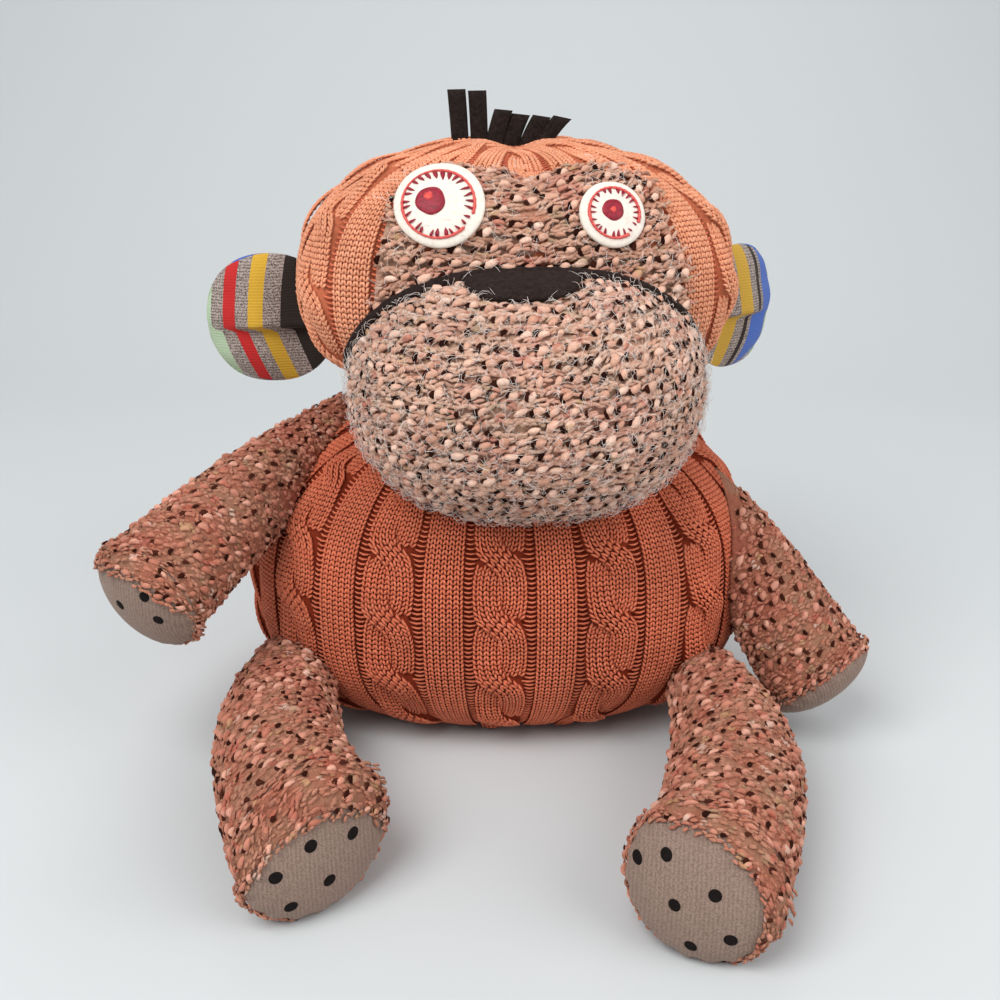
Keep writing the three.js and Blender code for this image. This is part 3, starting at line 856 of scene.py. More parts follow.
LIMB_THREAD = KnittingWool(
    "brick_tweed_thread", 0.88, 0.25, "#D9A48C", 0.15, 0.7, 0.45,
    ((0.0, "#9E5F4C"), (0.4, "#AC6C57"), (0.75, "#B67661"), (1.0, "#C08470")),
    TWEED_FLECKS, 0.16, LIMB_CASTS,
)
# The felted inside of the tweed fills in behind the loops; its own colour is darkened as painted shade
# between them.
FACE_INSIDE_PAINTED_SHADE = KnittingWool(
    "felted_face_tweed_inside", 0.92, 0.2, "#D8B4A2", 0.1, 2.0, 1.6,
    shades("#9A6C56", "#A67862", "#B0846E"), casts=FACE_CASTS,
)
LIMB_INSIDE_PAINTED_SHADE = KnittingWool(
    "felted_limb_tweed_inside", 0.92, 0.15, "#B98A78", 0.1, 2.0, 1.6,
    shades("#7A4838", "#86523F", "#925E4A"), casts=LIMB_CASTS,
)
# A gap between two loops is drawn as a brown-black slit of painted shadow.
TWEED_PAINTED_SHADOW = KnittingWool(
    "shaded_tweed_gap", 0.95, 0.0, "#503028", 0.05, 1.2, 0.2, shades("#1E0C08", "#2A120C", "#3C1E16")
)
# The painted shadow slits of the limbs' closer knit are browner, as each gap there is shallower.
LIMB_PAINTED_SHADOW = KnittingWool(
    "shaded_limb_tweed_gap", 0.95, 0.0, "#6A4034", 0.05, 1.2, 0.2, shades("#2A120C", "#3A1A12", "#4C261C")
)
# Loose mohair wisps, pale and a little glossy.
WISPS = KnittingWool(
    "loose_wool_wisps", 0.7, 0.3, "#FFF4EC", 0.3, 1.0, 0.05, shades("#E4D2C6", "#EFE3DA", "#F6EFE9")
)
# Cotton jersey of the pads: a taupe marl in fine wales.
PAD_JERSEY = Jersey(
    "taupe_marl_jersey", 0.85, 0.2, "#D8CABF", 0.2, 0.55, 0.12, "#957E72", "#7C675B", wale_mm=1.4
)
# Flock of the printed spots, and pressed wool felts, matt with a short pile.
SPOT_PRINT = Felt("black_flock_print", 0.85, 0.03, "#554C48", 0.15, 0.6, 0.08, "#1A1210", "#0C0807")
WHITE_FELT = Felt("white_wool_felt", 0.9, 0.15, "#FFFFFF", 0.2, 0.8, 0.15, "#EEE4D8", "#E1D6CA")
CHARCOAL_FELT = Felt("charcoal_wool_felt", 0.92, 0.15, "#7C7470", 0.15, 0.9, 0.3, "#302421", "#1E1513")
BLACK_FELT = Felt("brown_black_wool_felt", 0.92, 0.12, "#6A5C54", 0.15, 0.9, 0.3, "#2C2320", "#171210")
# Stranded cotton floss, which shines more than wool.
RED_FLOSS = Felt("red_embroidery_floss", 0.5, 0.1, "#FFC0B0", 0.4, 0.6, 0.12, "#E0645A", "#C43F3C")
CRIMSON_FLOSS = Felt("crimson_embroidery_floss", 0.5, 0.1, "#E08080", 0.4, 0.6, 0.12, "#A3142F", "#74071E")
# A pale red disc on each pupil is a painted highlight.
PAINTED_HIGHLIGHT_FLOSS = Felt("scarlet_embroidery_floss", 0.5, 0.1, "#FFB0A0", 0.4, 0.6, 0.12, "#E2574A", "#C8302F")


# Stitches


def tube(path: Array, radii: Sequence[float], sides: int, flat: float = 1.0) -> Skin:
    """A closed yarn along a path, pointed at both ends.

    Args:
        path: Points of the path; the first and the last are the tips.
        radii: Radius at each point between the tips.
        sides: Number of sides.
        flat: Thickness as a share of the width.
    Returns:
        Points and faces.
    """
    path = np.asarray(path, float)
    along = unit(path[2:] - path[:-2])
    side = unit(np.cross(along, np.array([0.0, 0.0, 1.0])) + np.array([1e-6, 0.0, 0.0]))
    top = np.cross(side, along)
    angles = TURN * (np.arange(sides) + 0.5) / sides
    wide, high = np.cos(angles)[None, :, None], np.sin(angles)[None, :, None] * flat
    reach = np.asarray(radii, float)[:, None, None]
    rings = path[1:-1, None, :] + reach * (wide * side[:, None, :] + high * top[:, None, :])
    return closed_tube(rings, path[0], path[-1])


class StitchTree:
    """A Geometry Nodes tree that sets one of several stitch shapes on each point of a mesh."""

    INPUTS = (
        ("Shapes", "NodeSocketCollection"),
        ("Yarn", "NodeSocketMaterial"),
        ("Size", "NodeSocketFloat"),
        ("Unevenness", "NodeSocketFloat"),
        ("Seed", "NodeSocketInt"),
    )
    READ = (("normal", "FLOAT_VECTOR"), ("up", "FLOAT_VECTOR"), ("stretch", "FLOAT_VECTOR"), ("kind", "INT"))
    # No stitch reaches lower than this above the ground.
    GROUND_MM = 0.2

    def __init__(self) -> None:
        """Builds the tree."""
        tree = bpy.data.node_groups.new("set_stitches", "GeometryNodeTree")
        tree.interface.new_socket("Geometry", in_out="INPUT", socket_type="NodeSocketGeometry")
        tree.interface.new_socket("Geometry", in_out="OUTPUT", socket_type="NodeSocketGeometry")
        for name, kind in self.INPUTS:
            tree.interface.new_socket(name, in_out="INPUT", socket_type=kind)
        given = add_node(tree, "NodeGroupInput").outputs
        read = {}
        for key, kind in self.READ:
            named = add_node(tree, "GeometryNodeInputNamedAttribute", {"Name": key}, data_type=kind)
            read[key] = named.outputs["Attribute"]
        axes = {"Primary Axis": read["normal"], "Secondary Axis": read["up"]}
        turn = output(tree, "FunctionNodeAxesToRotation", axes, primary_axis="Z", secondary_axis="Y")
        seed, loose = given["Seed"], given["Unevenness"]
        low, high = arithmetic(tree, "SUBTRACT", 1.0, loose), arithmetic(tree, "ADD", 1.0, loose)
        limits = {0: low, 1: high, "Seed": seed}
        uneven = output(tree, "FunctionNodeRandomValue", limits, data_type="FLOAT_VECTOR")
        varied = output(tree, "ShaderNodeVectorMath", {0: read["stretch"], 1: uneven}, operation="MULTIPLY")
        scaled = output(tree, "ShaderNodeVectorMath", {0: varied, "Scale": given["Size"]}, operation="SCALE")
        drawn = {"Collection": given["Shapes"], "Separate Children": True, "Reset Children": True}
        placed = {
            "Points": given["Geometry"],
            "Instance": output(tree, "GeometryNodeCollectionInfo", drawn),
            "Pick Instance": True,
            "Instance Index": read["kind"],
            "Rotation": turn,
            "Scale": scaled,
        }
        stood = output(tree, "GeometryNodeInstanceOnPoints", placed)
        shade = add_node(tree, "FunctionNodeRandomValue", {2: 0.0, 3: 1.0, "Seed": seed}, data_type="FLOAT")
        tint = {"Geometry": stood, "Name": "tint", "Value": shade.outputs[1]}
        tinted = output(tree, "GeometryNodeStoreNamedAttribute", tint, data_type="FLOAT", domain="INSTANCE")
        real = output(tree, "GeometryNodeRealizeInstances", {"Geometry": tinted})
        smooth = output(tree, "GeometryNodeSetShadeSmooth", {"Geometry": real})
        dyed = output(tree, "GeometryNodeSetMaterial", {"Geometry": smooth, "Material": given["Yarn"]})
        add_node(tree, "NodeGroupOutput", {"Geometry": dyed})
        self.tree = tree
        items = tree.interface.items_tree
        self.sockets = {item.name: item.identifier for item in items if item.in_out == "INPUT"}

    def shapes(self, name: str, skins: Sequence[Skin]) -> bpy.types.Collection:
        """Puts stitch shapes in a collection that isn't part of the scene.

        Args:
            name: Start of the shapes' names.
            skins: Points in millimetres and faces of each.
        Returns:
            The collection.
        """
        shelf = bpy.data.collections.new(name)
        for number, (points, faces) in enumerate(skins):
            mesh = bpy.data.meshes.new(f"{name}_{number}")
            mesh.from_pydata((points * MM).tolist(), [], outward(points, faces))
            shelf.objects.link(bpy.data.objects.new(f"{name}_{number}", mesh))
        return shelf

    def set(
        self,
        name: str,
        spots: Spots,
        shapes: bpy.types.Collection,
        nominal: Pair,
        finish: Finish,
        seed: int,
        uneven: float = 0.08,
        kinds: Optional[Array] = None,
        size: float = 1.0,
    ) -> bpy.types.Object:
        """Sets stitches and turns them to a plain mesh.

        Args:
            name: Name of the new piece.
            spots: Where the stitches stand.
            shapes: Collection of stitch shapes.
            nominal: Width and height in millimetres that the shapes were drawn for.
            finish: The yarn.
            seed: Seed of the sizes and shades.
            uneven: Share by which sizes vary.
            kinds: Number of the shape at each place.
            size: Scale of every stitch.
        Returns:
            The piece.
        """
        count = len(spots.points)
        wide, high = spots.width / nominal[0], spots.height / nominal[1]
        mesh = bpy.data.meshes.new(name + "_places")
        mesh.from_pydata((spots.points * MM).tolist(), [], [])
        store(mesh, "normal", spots.normal)
        store(mesh, "up", spots.up)
        store(mesh, "stretch", np.stack([wide, high, np.clip((wide + high) / 2, 0.6, 1.15)], -1))
        store(mesh, "kind", (np.zeros(count, int) if kinds is None else kinds).astype(np.int32))
        holder = bpy.data.objects.new(name + "_places", mesh)
        bpy.context.scene.collection.objects.link(holder)
        nodes = holder.modifiers.new("stitches", "NODES")
        nodes.node_group = self.tree
        settings = (shapes, finish.material(), size, uneven, seed)
        for (key, _), value in zip(self.INPUTS, settings):
            nodes[self.sockets[key]] = value
        graph = bpy.context.evaluated_depsgraph_get()
        made = bpy.data.meshes.new_from_object(
            holder.evaluated_get(graph), preserve_all_data_layers=True, depsgraph=graph
        )
        made.name = name
        bpy.data.objects.remove(holder)
        places = np.zeros(len(made.vertices) * 3, np.float32)
        made.vertices.foreach_get("co", places)
        places[2::3] = np.maximum(places[2::3], self.GROUND_MM * MM)
        made.vertices.foreach_set("co", places)
        piece = bpy.data.objects.new(name, made)
        bpy.context.scene.collection.objects.link(piece)
        LOG.info("%s: %d stitches, %d faces", name, count, len(made.polygons))
        return piece


# Each shape is drawn with X across, Y up and Z out of the cloth, for a stitch of this width and height.
KNIT_CELL = (2.4, 2.0)
PURL_CELL = (4.4, 2.0)
TWEED_CELL = (6.4, 5.6)


def knit_stitch() -> Skin:
    """One plain stitch: two legs of yarn that meet in a V."""
    path = np.array([(1.15, 1.35, -0.45), (0.80, 0.6, 0.25), (0.46, -0.5, 0.25), (0.1, -1.4, -0.45)])
    return join_skins([tube(path * (side, 1, 1), (0.55, 0.55), 4, 0.9) for side in (-1, 1)])


def purl_bar() -> Skin:
    """One purl bump: a short bar of yarn across a ditch."""
    path = [(-3.0, 0.5, -0.3), (-1.4, -0.1, 0.1), (0.0, -0.35, 0.2), (1.4, -0.1, 0.1), (3.0, 0.5, -0.3)]
    return tube(np.array(path), (0.42, 0.5, 0.42), 4, 0.9)


def arched(
    middle: Pair, half: float, lean: float, bow: float, rise: Pair, radii: Array, sides: int
) -> Skin:
    """A short arched length of yarn whose ends dive into the cloth.

    Args:
        middle: Middle of its length, across and up.
        half: Half its length.
        lean: Angle from level, in radians.
        bow: How far its middle bends aside.
        rise: Height of its middle and of its ends.
        radii: Radius at each ring.
        sides: Number of sides.
    Returns:
        Points and faces.
    """
    shares = np.linspace(-1, 1, len(radii) + 2)
    aside = bow * (1 - shares**2)
    x = middle[0] + cos(lean) * half * shares - sin(lean) * aside
    y = middle[1] + sin(lean) * half * shares + cos(lean) * aside
    z = rise[1] + (rise[0] - rise[1]) * (1 - shares**2)
    return tube(np.stack([x, y, z], -1), radii, sides, 0.8)


def slub_nubs() -> list[Skin]:
    """Loops of slub yarn that swell out of the cloth, each a little different.

    Returns:
        Points and faces of each kind.
    """
    rng = np.random.default_rng(23)
    shapes = []
    for _ in range(6):
        radii = rng.uniform(1.1, 1.5) * np.array([0.7, 1.0, 1.0, 0.7]) * rng.uniform(0.85, 1.15, 4)
        lean, bow = radians(rng.uniform(-10, 45)), rng.uniform(0.3, 1.2)
        shapes.append(arched((1.1, -0.6), rng.uniform(2.1, 2.8), lean, bow, (0.7, -0.5), radii, 6))
    return shapes


def tweed_loops(half: Pair, top: Pair) -> list[Skin]:
    """Small bumps of thread round a slub, no two alike.

    Args:
        half: Least and greatest half length of a bump.
        top: Least and greatest height of its middle.
    Returns:
        Points and faces of each kind.
    """
    rng = np.random.default_rng(29)
    shapes = []
    for _ in range(8):
        bumps = []
        for x, y in ((-1.7, 2.0), (1.5, 2.1), (-1.6, -2.1), (1.6, -2.3)):
            middle = (x + rng.uniform(-0.6, 0.6), y + rng.uniform(-0.5, 0.5))
            radii = rng.uniform(0.7, 1.0) * np.array([0.9, 1.0, 0.9])
            lean, bow = radians(rng.uniform(-20, 45)), rng.uniform(-0.8, 1.0)
            bumps.append(arched(middle, rng.uniform(*half), lean, bow, (rng.uniform(*top), -0.3), radii, 4))
        shapes.append(join_skins(bumps))
    return shapes


def tweed_gaps() -> list[Skin]:
    """The dark slits of painted shadow that hug one side of a slub.

    Returns:
        Points and faces of each kind.
    """
    shapes = []
    for first, last, fat in ((110, 215, 1.15), (140, 240, 1.05), (95, 190, 1.0)):
        turn = np.radians(np.linspace(first, last, 5))
        path = np.stack([1.1 + 2.7 * np.cos(turn), -0.4 + 2.0 * np.sin(turn), np.full(5, 0.7)], -1)
        shapes.append(tube(path, np.array((0.8, 1.0, 0.75)) * fat, 6, 0.35))
    return shapes


def wool_wisps() -> list[Skin]:
    """Loose hairs that curl out of the yarn.

    Returns:
        Points and faces of each kind.
    """
    rng = np.random.default_rng(41)
    shapes = []
    for _ in range(8):
        hairs = []
        for _ in range(5):
            heading, curl = rng.uniform(0, TURN), rng.uniform(-3.0, 3.0)
            length = rng.uniform(4.0, 9.0)
            steps = np.linspace(0, 1, 5)
            bend = heading + curl * steps
            flat = np.cumsum(np.stack([np.cos(bend), np.sin(bend)], -1), 0) * length / 5
            height = 0.8 + rng.uniform(0.5, 2.8) * np.sin(pi * steps * rng.uniform(0.6, 1.0))
            hairs.append(tube(np.column_stack([flat + rng.uniform(-2.5, 2.5, 2), height]), (0.065,) * 3, 3))
        shapes.append(join_skins(hairs))
    return shapes


@dataclass(frozen=True)
class CableKnit:
    """The layout of the cable knit round a bag: cables, purl ditches and plain ribs in turn."""

    bag: Bag
    repeats: int
    row_mm: float = 2.0
    cable_mm: float = 21.0
    cable_wales: int = 8
    ditch_mm: float = 3.6
    rib_mm: float = 15.6
    rib_wales: int = 6
    twist_mm: float = 54.0
    swing_mm: float = 5.25
    swell_mm: float = 2.0
    crossing: float = 1.8
    # Heights above the bag of the cloth in a ditch, under a rib and beside a strand.
    ditch_height: float = -3.2
    rib_height: float = -1.9
    strand_height: float = -2.2
    # Height of the stitches at the edge of a rib and of a strand, and their rise towards its middle.
    rib_stitch: Pair = (-0.9, 0.3)
    strand_stitch: Pair = (-1.3, 0.7)
    # Height of the purl bars, and the sizes below which columns merge and stitches sink away.
    bar_height: float = -1.7
    merge_share: float = 0.68
    sink_share: float = 1.4

    @property
    def repeat_mm(self) -> float:
        """Width of a cable, a rib and two ditches."""
        return self.cable_mm + self.rib_mm + 2 * self.ditch_mm

    def strand(self, down: Array, which: int) -> tuple[Array, Array, Array]:
        """A cable strand's sideways place, rise and slope.

        Args:
            down: Millimetres from the top.
            which: 0 or 1.
        Returns:
            Place across the cable, a number from -1, behind, to 1, in front, and the slope.
        """
        turn = TURN * np.asarray(down, float) / self.twist_mm + which * pi
        swing = self.swing_mm / tanh(self.crossing)
        place = swing * np.tanh(self.crossing * np.sin(turn))
        slope = (swing - place**2 / swing) * self.crossing * np.cos(turn) * TURN / self.twist_mm
        return place, np.cos(turn), slope

    def relief(self, across: Array, down: Array) -> Array:
        """Height of the cloth under the stitches.

        Args:
            across: Millimetres from the middle of the nearest cable.
            down: Millimetres from the top.
        Returns:
            Millimetres above the bag.
        """
        signed = (across + self.repeat_mm / 2) % self.repeat_mm - self.repeat_mm / 2
        away = np.abs(signed)
        inner = self.cable_edge(down)
        outer = self.cable_mm / 2 + self.ditch_mm
        ditch = (away > inner - 0.4) & (away < outer + 0.4)
        height = np.where(ditch, self.ditch_height, self.rib_height)
        for which in (0, 1):
            place, rise, slope = self.strand(down, which)
            reach = self.swing_mm * self.spread(slope) + 0.5
            flank = smoothstep(1 - np.abs(signed - place) / reach, 0.0, 0.25)
            lifted = self.strand_height + flank * (0.9 + self.swell_mm * np.maximum(rise, 0))
            height = np.where(away < inner + 0.3, np.maximum(height, lifted), height)
        return height

    def spread(self, slope: Array) -> Array:
        """How much further a strand reaches sideways where it slants, as it keeps its own width."""
        return np.minimum(np.sqrt(1 + slope**2), 1.5)

    def cable_edge(self, down: Array) -> Array:
        """How far a cable's edge lies from its middle: it draws in where its strands cross."""
        place, _, slope = self.strand(down, 0)
        return np.abs(place) + self.swing_mm * self.spread(slope)

    def backing(self, surface: BagMap, first: float, last: float) -> Skin:
        """The closed cloth under the stitches, with the cables' relief.

        Args:
            surface: Measures of the bag.
            first: Where the cloth starts, in millimetres from the top.
            last: Where it ends.
        Returns:
            Points and faces.
        """
        columns = self.repeats * 30
        rows = int((last - first) / 2.5)
        around, down = np.meshgrid(np.arange(columns) / columns, np.linspace(first, last, rows))
        spots = Spots.on(surface.at, around, down, 1.0, 1.0, np.array(self.bag.place.origin))
        pinch = np.clip(spots.width / surface.girth, 0, 1)
        relief = self.relief(around * self.repeats * self.repeat_mm, down)
        return closed_tube(spots.raised(relief * pinch).points)

    def stitches(self, surface: BagMap, first: float, last: float) -> tuple[Spots, Spots]:
        """Where the plain stitches and the purl bars stand.

        Args:
            surface: Measures of the bag.
            first: First row, in millimetres from the top.
            last: Last row.
        Returns:
            Places of plain stitches and of purl bars.
        """
        core = np.array(self.bag.place.origin)
        share = 1 / (self.repeats * self.repeat_mm)
        rows = np.arange(first, last, self.row_mm)
        plain, bars = [], []

        def wale(place: Array, width: float, height: Array, slope: Array, number: int, seen: Array) -> Spots:
            """One column of stitches, thinned where the knit narrows.

            Args:
                place: Millimetres round the widest level, for each row.
                width: Width of the column there.
                height: Height above the bag, for each row.
                slope: Millimetres sideways for each millimetre down.
                number: Number of the column.
                seen: Whether each row's stitch lies in front.
            Returns:
                Places of its stitches.
            """
            measured = Spots.on(surface.at, place * share, rows, width * share, self.row_mm, core).width
            # Where the columns crowd together, two, four or eight of them go on as one.
            crowd = self.merge_share * width / np.maximum(measured, 1e-3)
            level = np.clip(np.ceil(np.log2(crowd)), 0, 3).astype(int)
            merged = place + (2.0**level - 1) / 2 * width
            spots = Spots.on(surface.at, merged * share, rows, width * share, self.row_mm, core)
            fade = np.clip(self.sink_share * spots.width / width, 0, 1)
            spots = spots.raised(height * fade - 0.5 * (1 - fade))
            spots.up = unit(spots.up - slope[:, None] * spots.across)
            spots.height = spots.height * np.sqrt(1 + slope**2)
            spots.width = spots.width * 2.0**level
            return spots.kept(seen & (number % 2**level == 0))

        flat, half = np.zeros_like(rows), self.cable_wales // 2
        (rib_edge, rib_rise), (strand_edge, strand_rise) = self.rib_stitch, self.strand_stitch
        rib_wale, cable_wale = self.rib_mm / self.rib_wales, self.cable_mm / self.cable_wales
        inner, outer = self.cable_edge(rows), self.cable_mm / 2 + self.ditch_mm
        wide = outer - inner
        for repeat in range(self.repeats):
            middle = repeat * self.repeat_mm
            for number in range(self.rib_wales):
                place = middle + self.cable_mm / 2 + self.ditch_mm + rib_wale * (number + 0.5)
                height = rib_edge + rib_rise * sin(pi * (number + 0.5) / self.rib_wales)
                plain.append(wale(flat + place, rib_wale, flat + height, flat, number, flat == 0))
            for side in (-1, 1):
                place = middle + side * (inner + outer) / 2
                ladder = Spots.on(surface.at, place * share, rows, wide * share, self.row_mm, core)
                fade = np.clip(self.sink_share * ladder.width / wide, 0, 1)
                bars.append(ladder.raised(self.bar_height * fade))
            for which in (0, 1):
                place, rise, slope = self.strand(rows, which)
                for number in range(half):
                    off = number - (half - 1) / 2
                    across = middle + place + off * cable_wale * self.spread(slope)
                    dome = strand_rise * (1 - (off / (half / 2)) ** 2)
                    height = strand_edge + dome + np.where(rise > 0, self.swell_mm, 0.4) * rise
                    plain.append(wale(across, cable_wale, height, slope, number, rise > -0.97))
        return joined(plain), joined(bars)


# The monkey's forms, repeated from the part's source

BODY = Bag(110, 84, 84, 76, 67, (2.4, 2.2, 2.7), Place((0, 0, 58)))
HEAD_PLACE = Place.turned((6, 0, 183), 5)
HEAD = Bag(90, 66, 66, 58, 46, (2.1, 2.9, 2.4), HEAD_PLACE, (4, 10))
MUZZLE = Bag(69, 62, 30, 46, 54, (2.4, 2.0, 2.1), Place.turned((0, -50, -30), 0, HEAD_PLACE))


def arm(side: Side, shoulder_z: float, spread: float, forward: float) -> Limb:
    """An arm that hangs from its shoulder.

    Args:
        side: Its side.
        shoulder_z: Height of its shoulder.
        spread: Angle out from the side, in degrees.
        forward: Angle forwards, in degrees.
    Returns:
        The arm's form.
    """
    s, f = radians(spread), radians(forward)
    direction = (side.value * sin(s), -cos(s) * sin(f), -cos(s) * cos(f))
    return Limb(side, (side.value * 75, -12, shoulder_z), direction, 139, (10, 19, 23.5), 3, 12, 22)


def leg(side: Side, hip_y: float, toe_in: float, turn: float) -> Limb:
    """A leg that lies forwards from its hip and ends in a slanted sole.

    Args:
        side: Its side.
        hip_y: Place of its hip from front to back.
        toe_in: Turn inwards, in degrees.
        turn: Slant of its sole, in degrees.
    Returns:
        The leg's form.
    """
    t = radians(toe_in)
    root, direction = (side.value * 80, hip_y, 25), (-side.value * sin(t), -cos(t), 0.0)
    slant = (radians(turn), side.value * radians(12))
    return Limb(side, root, direction, 162, (14, 24, 25), 16, 12, 14, *slant)


ARMS = {Side.RIGHT: arm(Side.RIGHT, 118, 32, 66), Side.LEFT: arm(Side.LEFT, 104, 33, 30)}
LEGS = {Side.RIGHT: leg(Side.RIGHT, -30, 9, 30), Side.LEFT: leg(Side.LEFT, -53, 8, 14)}


def dress(
    piece: bpy.types.Object,
    body: str,
    nodes: Sequence[str] = (),
    seam: Optional[Seam] = None,
) -> bpy.types.Object:
    """Sets a piece on its body, or keeps it in place where a seam is given, and hides the CAD nodes that it
    stands for.

    Args:
        piece: The piece.
        body: Body that it rides on, unless a seam is given.
        nodes: CAD nodes that it stands for.
        seam: Given for a piece that is sewn to the torso, which then keeps its place in the part's frame;
            only whether it is given counts.
    Returns:
        The piece.
    """
    if seam is None:
        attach(piece, body)
    else:
        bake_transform(piece)
    if nodes:
        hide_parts(*nodes)
    LOG.info("%s rides on %s", piece.name, body)
    return piece


@dataclass(frozen=True)
class Tweed:
    """How one tweed is spun and knitted: its yarns, and the share of stitches with each feature."""

    slub: Finish
    thread: Finish
    # Finish of the dark slits of painted shadow beside the slubs.
    gap: Finish
    slub_share: float
    slub_size: float
    gap_share: float
    hair_share: float
    lumpy: bool = False


MUZZLE_TWEED = Tweed(FACE_SLUB, FACE_THREAD, TWEED_PAINTED_SHADOW, 0.8, 1.05, 0.68, 1.7)
BROW_TWEED = Tweed(FACE_SLUB, BROW_THREAD, TWEED_PAINTED_SHADOW, 0.85, 1.0, 0.65, 0.6)
LIMB_TWEED = Tweed(LIMB_SLUB, LIMB_THREAD, LIMB_PAINTED_SHADOW, 0.7, 1.0, 0.6, 0.0, lumpy=True)


@dataclass
class Workshop:
    """The stitch tree and the shapes that every sub-assembly uses."""

    tree: StitchTree = field(default_factory=StitchTree)

    # A stitch of the cable knit that is narrower than this share of its cell is left out.
    LEAST_SHARE = 0.42

    def __post_init__(self) -> None:
        """Puts the stitch shapes on their shelves."""
        self.knit = self.tree.shapes("knit_stitch", [knit_stitch()])
        self.purl = self.tree.shapes("purl_bar", [purl_bar()])
        self.nubs = self.tree.shapes("slub_nub", slub_nubs())
        self.loops = self.tree.shapes("tweed_loop", tweed_loops((2.0, 3.0), (0.0, 0.5)))
        self.lumps = self.tree.shapes("tweed_lump", tweed_loops((1.3, 2.1), (0.15, 0.6)))
        self.gaps = self.tree.shapes("tweed_gap", tweed_gaps())
        self.wisps = self.tree.shapes("wool_wisp", wool_wisps())

    def put_away(self) -> None:
        """Removes the stitch shapes, which aren't pieces of the toy."""
        for shelf in (self.knit, self.purl, self.nubs, self.loops, self.lumps, self.gaps, self.wisps):
            for shape in list(shelf.objects):
                bpy.data.objects.remove(shape)
            bpy.data.collections.remove(shelf)

    def cable(
        self, body: str, name: str, spots: Spots, finish: Finish, parts: dict[str, Array], seed: int
    ) -> None:
        """Sets the stitches of a cable knit, one part of the form at a time.

        Args:
            body: Body that they ride on.
            name: Start of the pieces' names, which ends in knit or purl.
            spots: Middle of each stitch.
            finish: The yarn.
            parts: The places of each part, by its name.
            seed: Seed of the first part's sizes and shades.
        """
        shapes, cell = (self.knit, KNIT_CELL) if name.endswith("knit") else (self.purl, PURL_CELL)
        for number, (part, mask) in enumerate(parts.items()):
            shown = spots.kept(mask & (spots.width > self.LEAST_SHARE * cell[0]))
            piece = self.tree.set(f"{name}_{part}", shown, shapes, cell, finish, seed + number, 0.06)
            dress(piece, body)

    def tweed(
        self, name: str, body: str, spots: Spots, tweed: Tweed, seed: int, seam: Optional[Seam] = None
    ) -> None:
        """Covers places with tweed: slubs, thread loops, dark slits of painted shadow and loose hairs.

        Args:
            name: Start of the pieces' names.
            body: Body that they ride on, unless a seam is given.
            spots: Middle of each stitch.
            tweed: The yarns and their shares.
            seed: Seed of the choices.
            seam: Given for pieces that are sewn to the torso, which then keep their place instead of riding
                on the body.
        """
        rng = np.random.default_rng(seed)

        def stray(reach: float, times: int = 1) -> Array:
            """A random number for each place, up to a reach either way."""
            return rng.uniform(-reach, reach, (times * len(spots.points), 1))

        points = spots.points + spots.across * stray(0.9) + spots.up * stray(0.7)
        moved = replace(spots, points=points, up=unit(spots.up + spots.across * stray(0.3)))
        turned = joined([moved, moved])
        turned.up = unit(turned.up + turned.across * stray(2, 2))
        points = spots.points + spots.across * (spots.width / 2)[:, None] + spots.up * stray(1.5)
        between = replace(spots, points=points, up=unit(spots.up + spots.across * stray(0.4)))
        threads = self.lumps if tweed.lumpy else self.loops
        parts = (
            ("slubs", moved.raised(0.3), tweed.slub_share, self.nubs, tweed.slub, 0.28, tweed.slub_size),
            ("thread", joined([spots, between]), 1.0, threads, tweed.thread, 0.15, 1.0),
            # Dark slits of painted shadow beside the slubs.
            ("gaps", moved.raised(0.4), tweed.gap_share, self.gaps, tweed.gap, 0.25, tweed.slub_size),
            ("wisps", turned, tweed.hair_share / 2, self.wisps, WISPS, 0.3, 1.0),
        )
        for word, places, share, shapes, finish, uneven, size in parts:
            if not share:
                continue
            some = places.kept(rng.random(len(places.points)) < share)
            kinds = rng.integers(0, len(shapes.objects), len(some.points))
            piece = self.tree.set(
                f"{name}_{word}", some, shapes, TWEED_CELL, finish, seed, uneven, kinds, size
            )
            dress(piece, body, seam=seam)


@dataclass
class Torso:
    """The body bag in cable knit."""

    shop: Workshop
    knit: CableKnit = CableKnit(BODY, 14)
    neck_mm: float = 26.0
    seat_gap_mm: float = 3.0
    back_from_mm: float = 14.0

    def build(self) -> None:
        """Builds and dresses the body's cloth and stitches."""
        surface = BagMap(BODY)
        points, faces = self.knit.backing(surface, 4.0, surface.fall - 1.0)
        points[:, 2] = np.maximum(points[:, 2], 0.0)
        # The body's cloth is painted darker, as painted shade between the stitches.
        cloth = new_piece("body_cloth", (points, faces), ORANGE_WOOL_PAINTED_SHADE)
        nodes = ("body_front_panel", "body_back_panel", "body_stuffing", "pellet_pouch")
        dress(cloth, "torso", nodes)
        plain, bars = self.knit.stitches(surface, self.neck_mm, surface.fall)
        for name, spots in (("body_knit", plain), ("body_purl", bars)):
            shown = spots.points[:, 2] > self.seat_gap_mm
            shown &= HEAD.fullness(spots.points, 1.0) > 1
            shown &= MUZZLE.fullness(spots.points, 0.0) > 1
            spots = spots.kept(shown)
            left, back = spots.points[:, 0] > 0, spots.points[:, 1] > self.back_from_mm
            parts = {"front_right": ~left & ~back, "front_left": left & ~back}
            parts |= {"back_right": ~left & back, "back_left": left & back}
            self.shop.cable("torso", name, spots, ORANGE_WOOL, parts, 11)


# Tweed


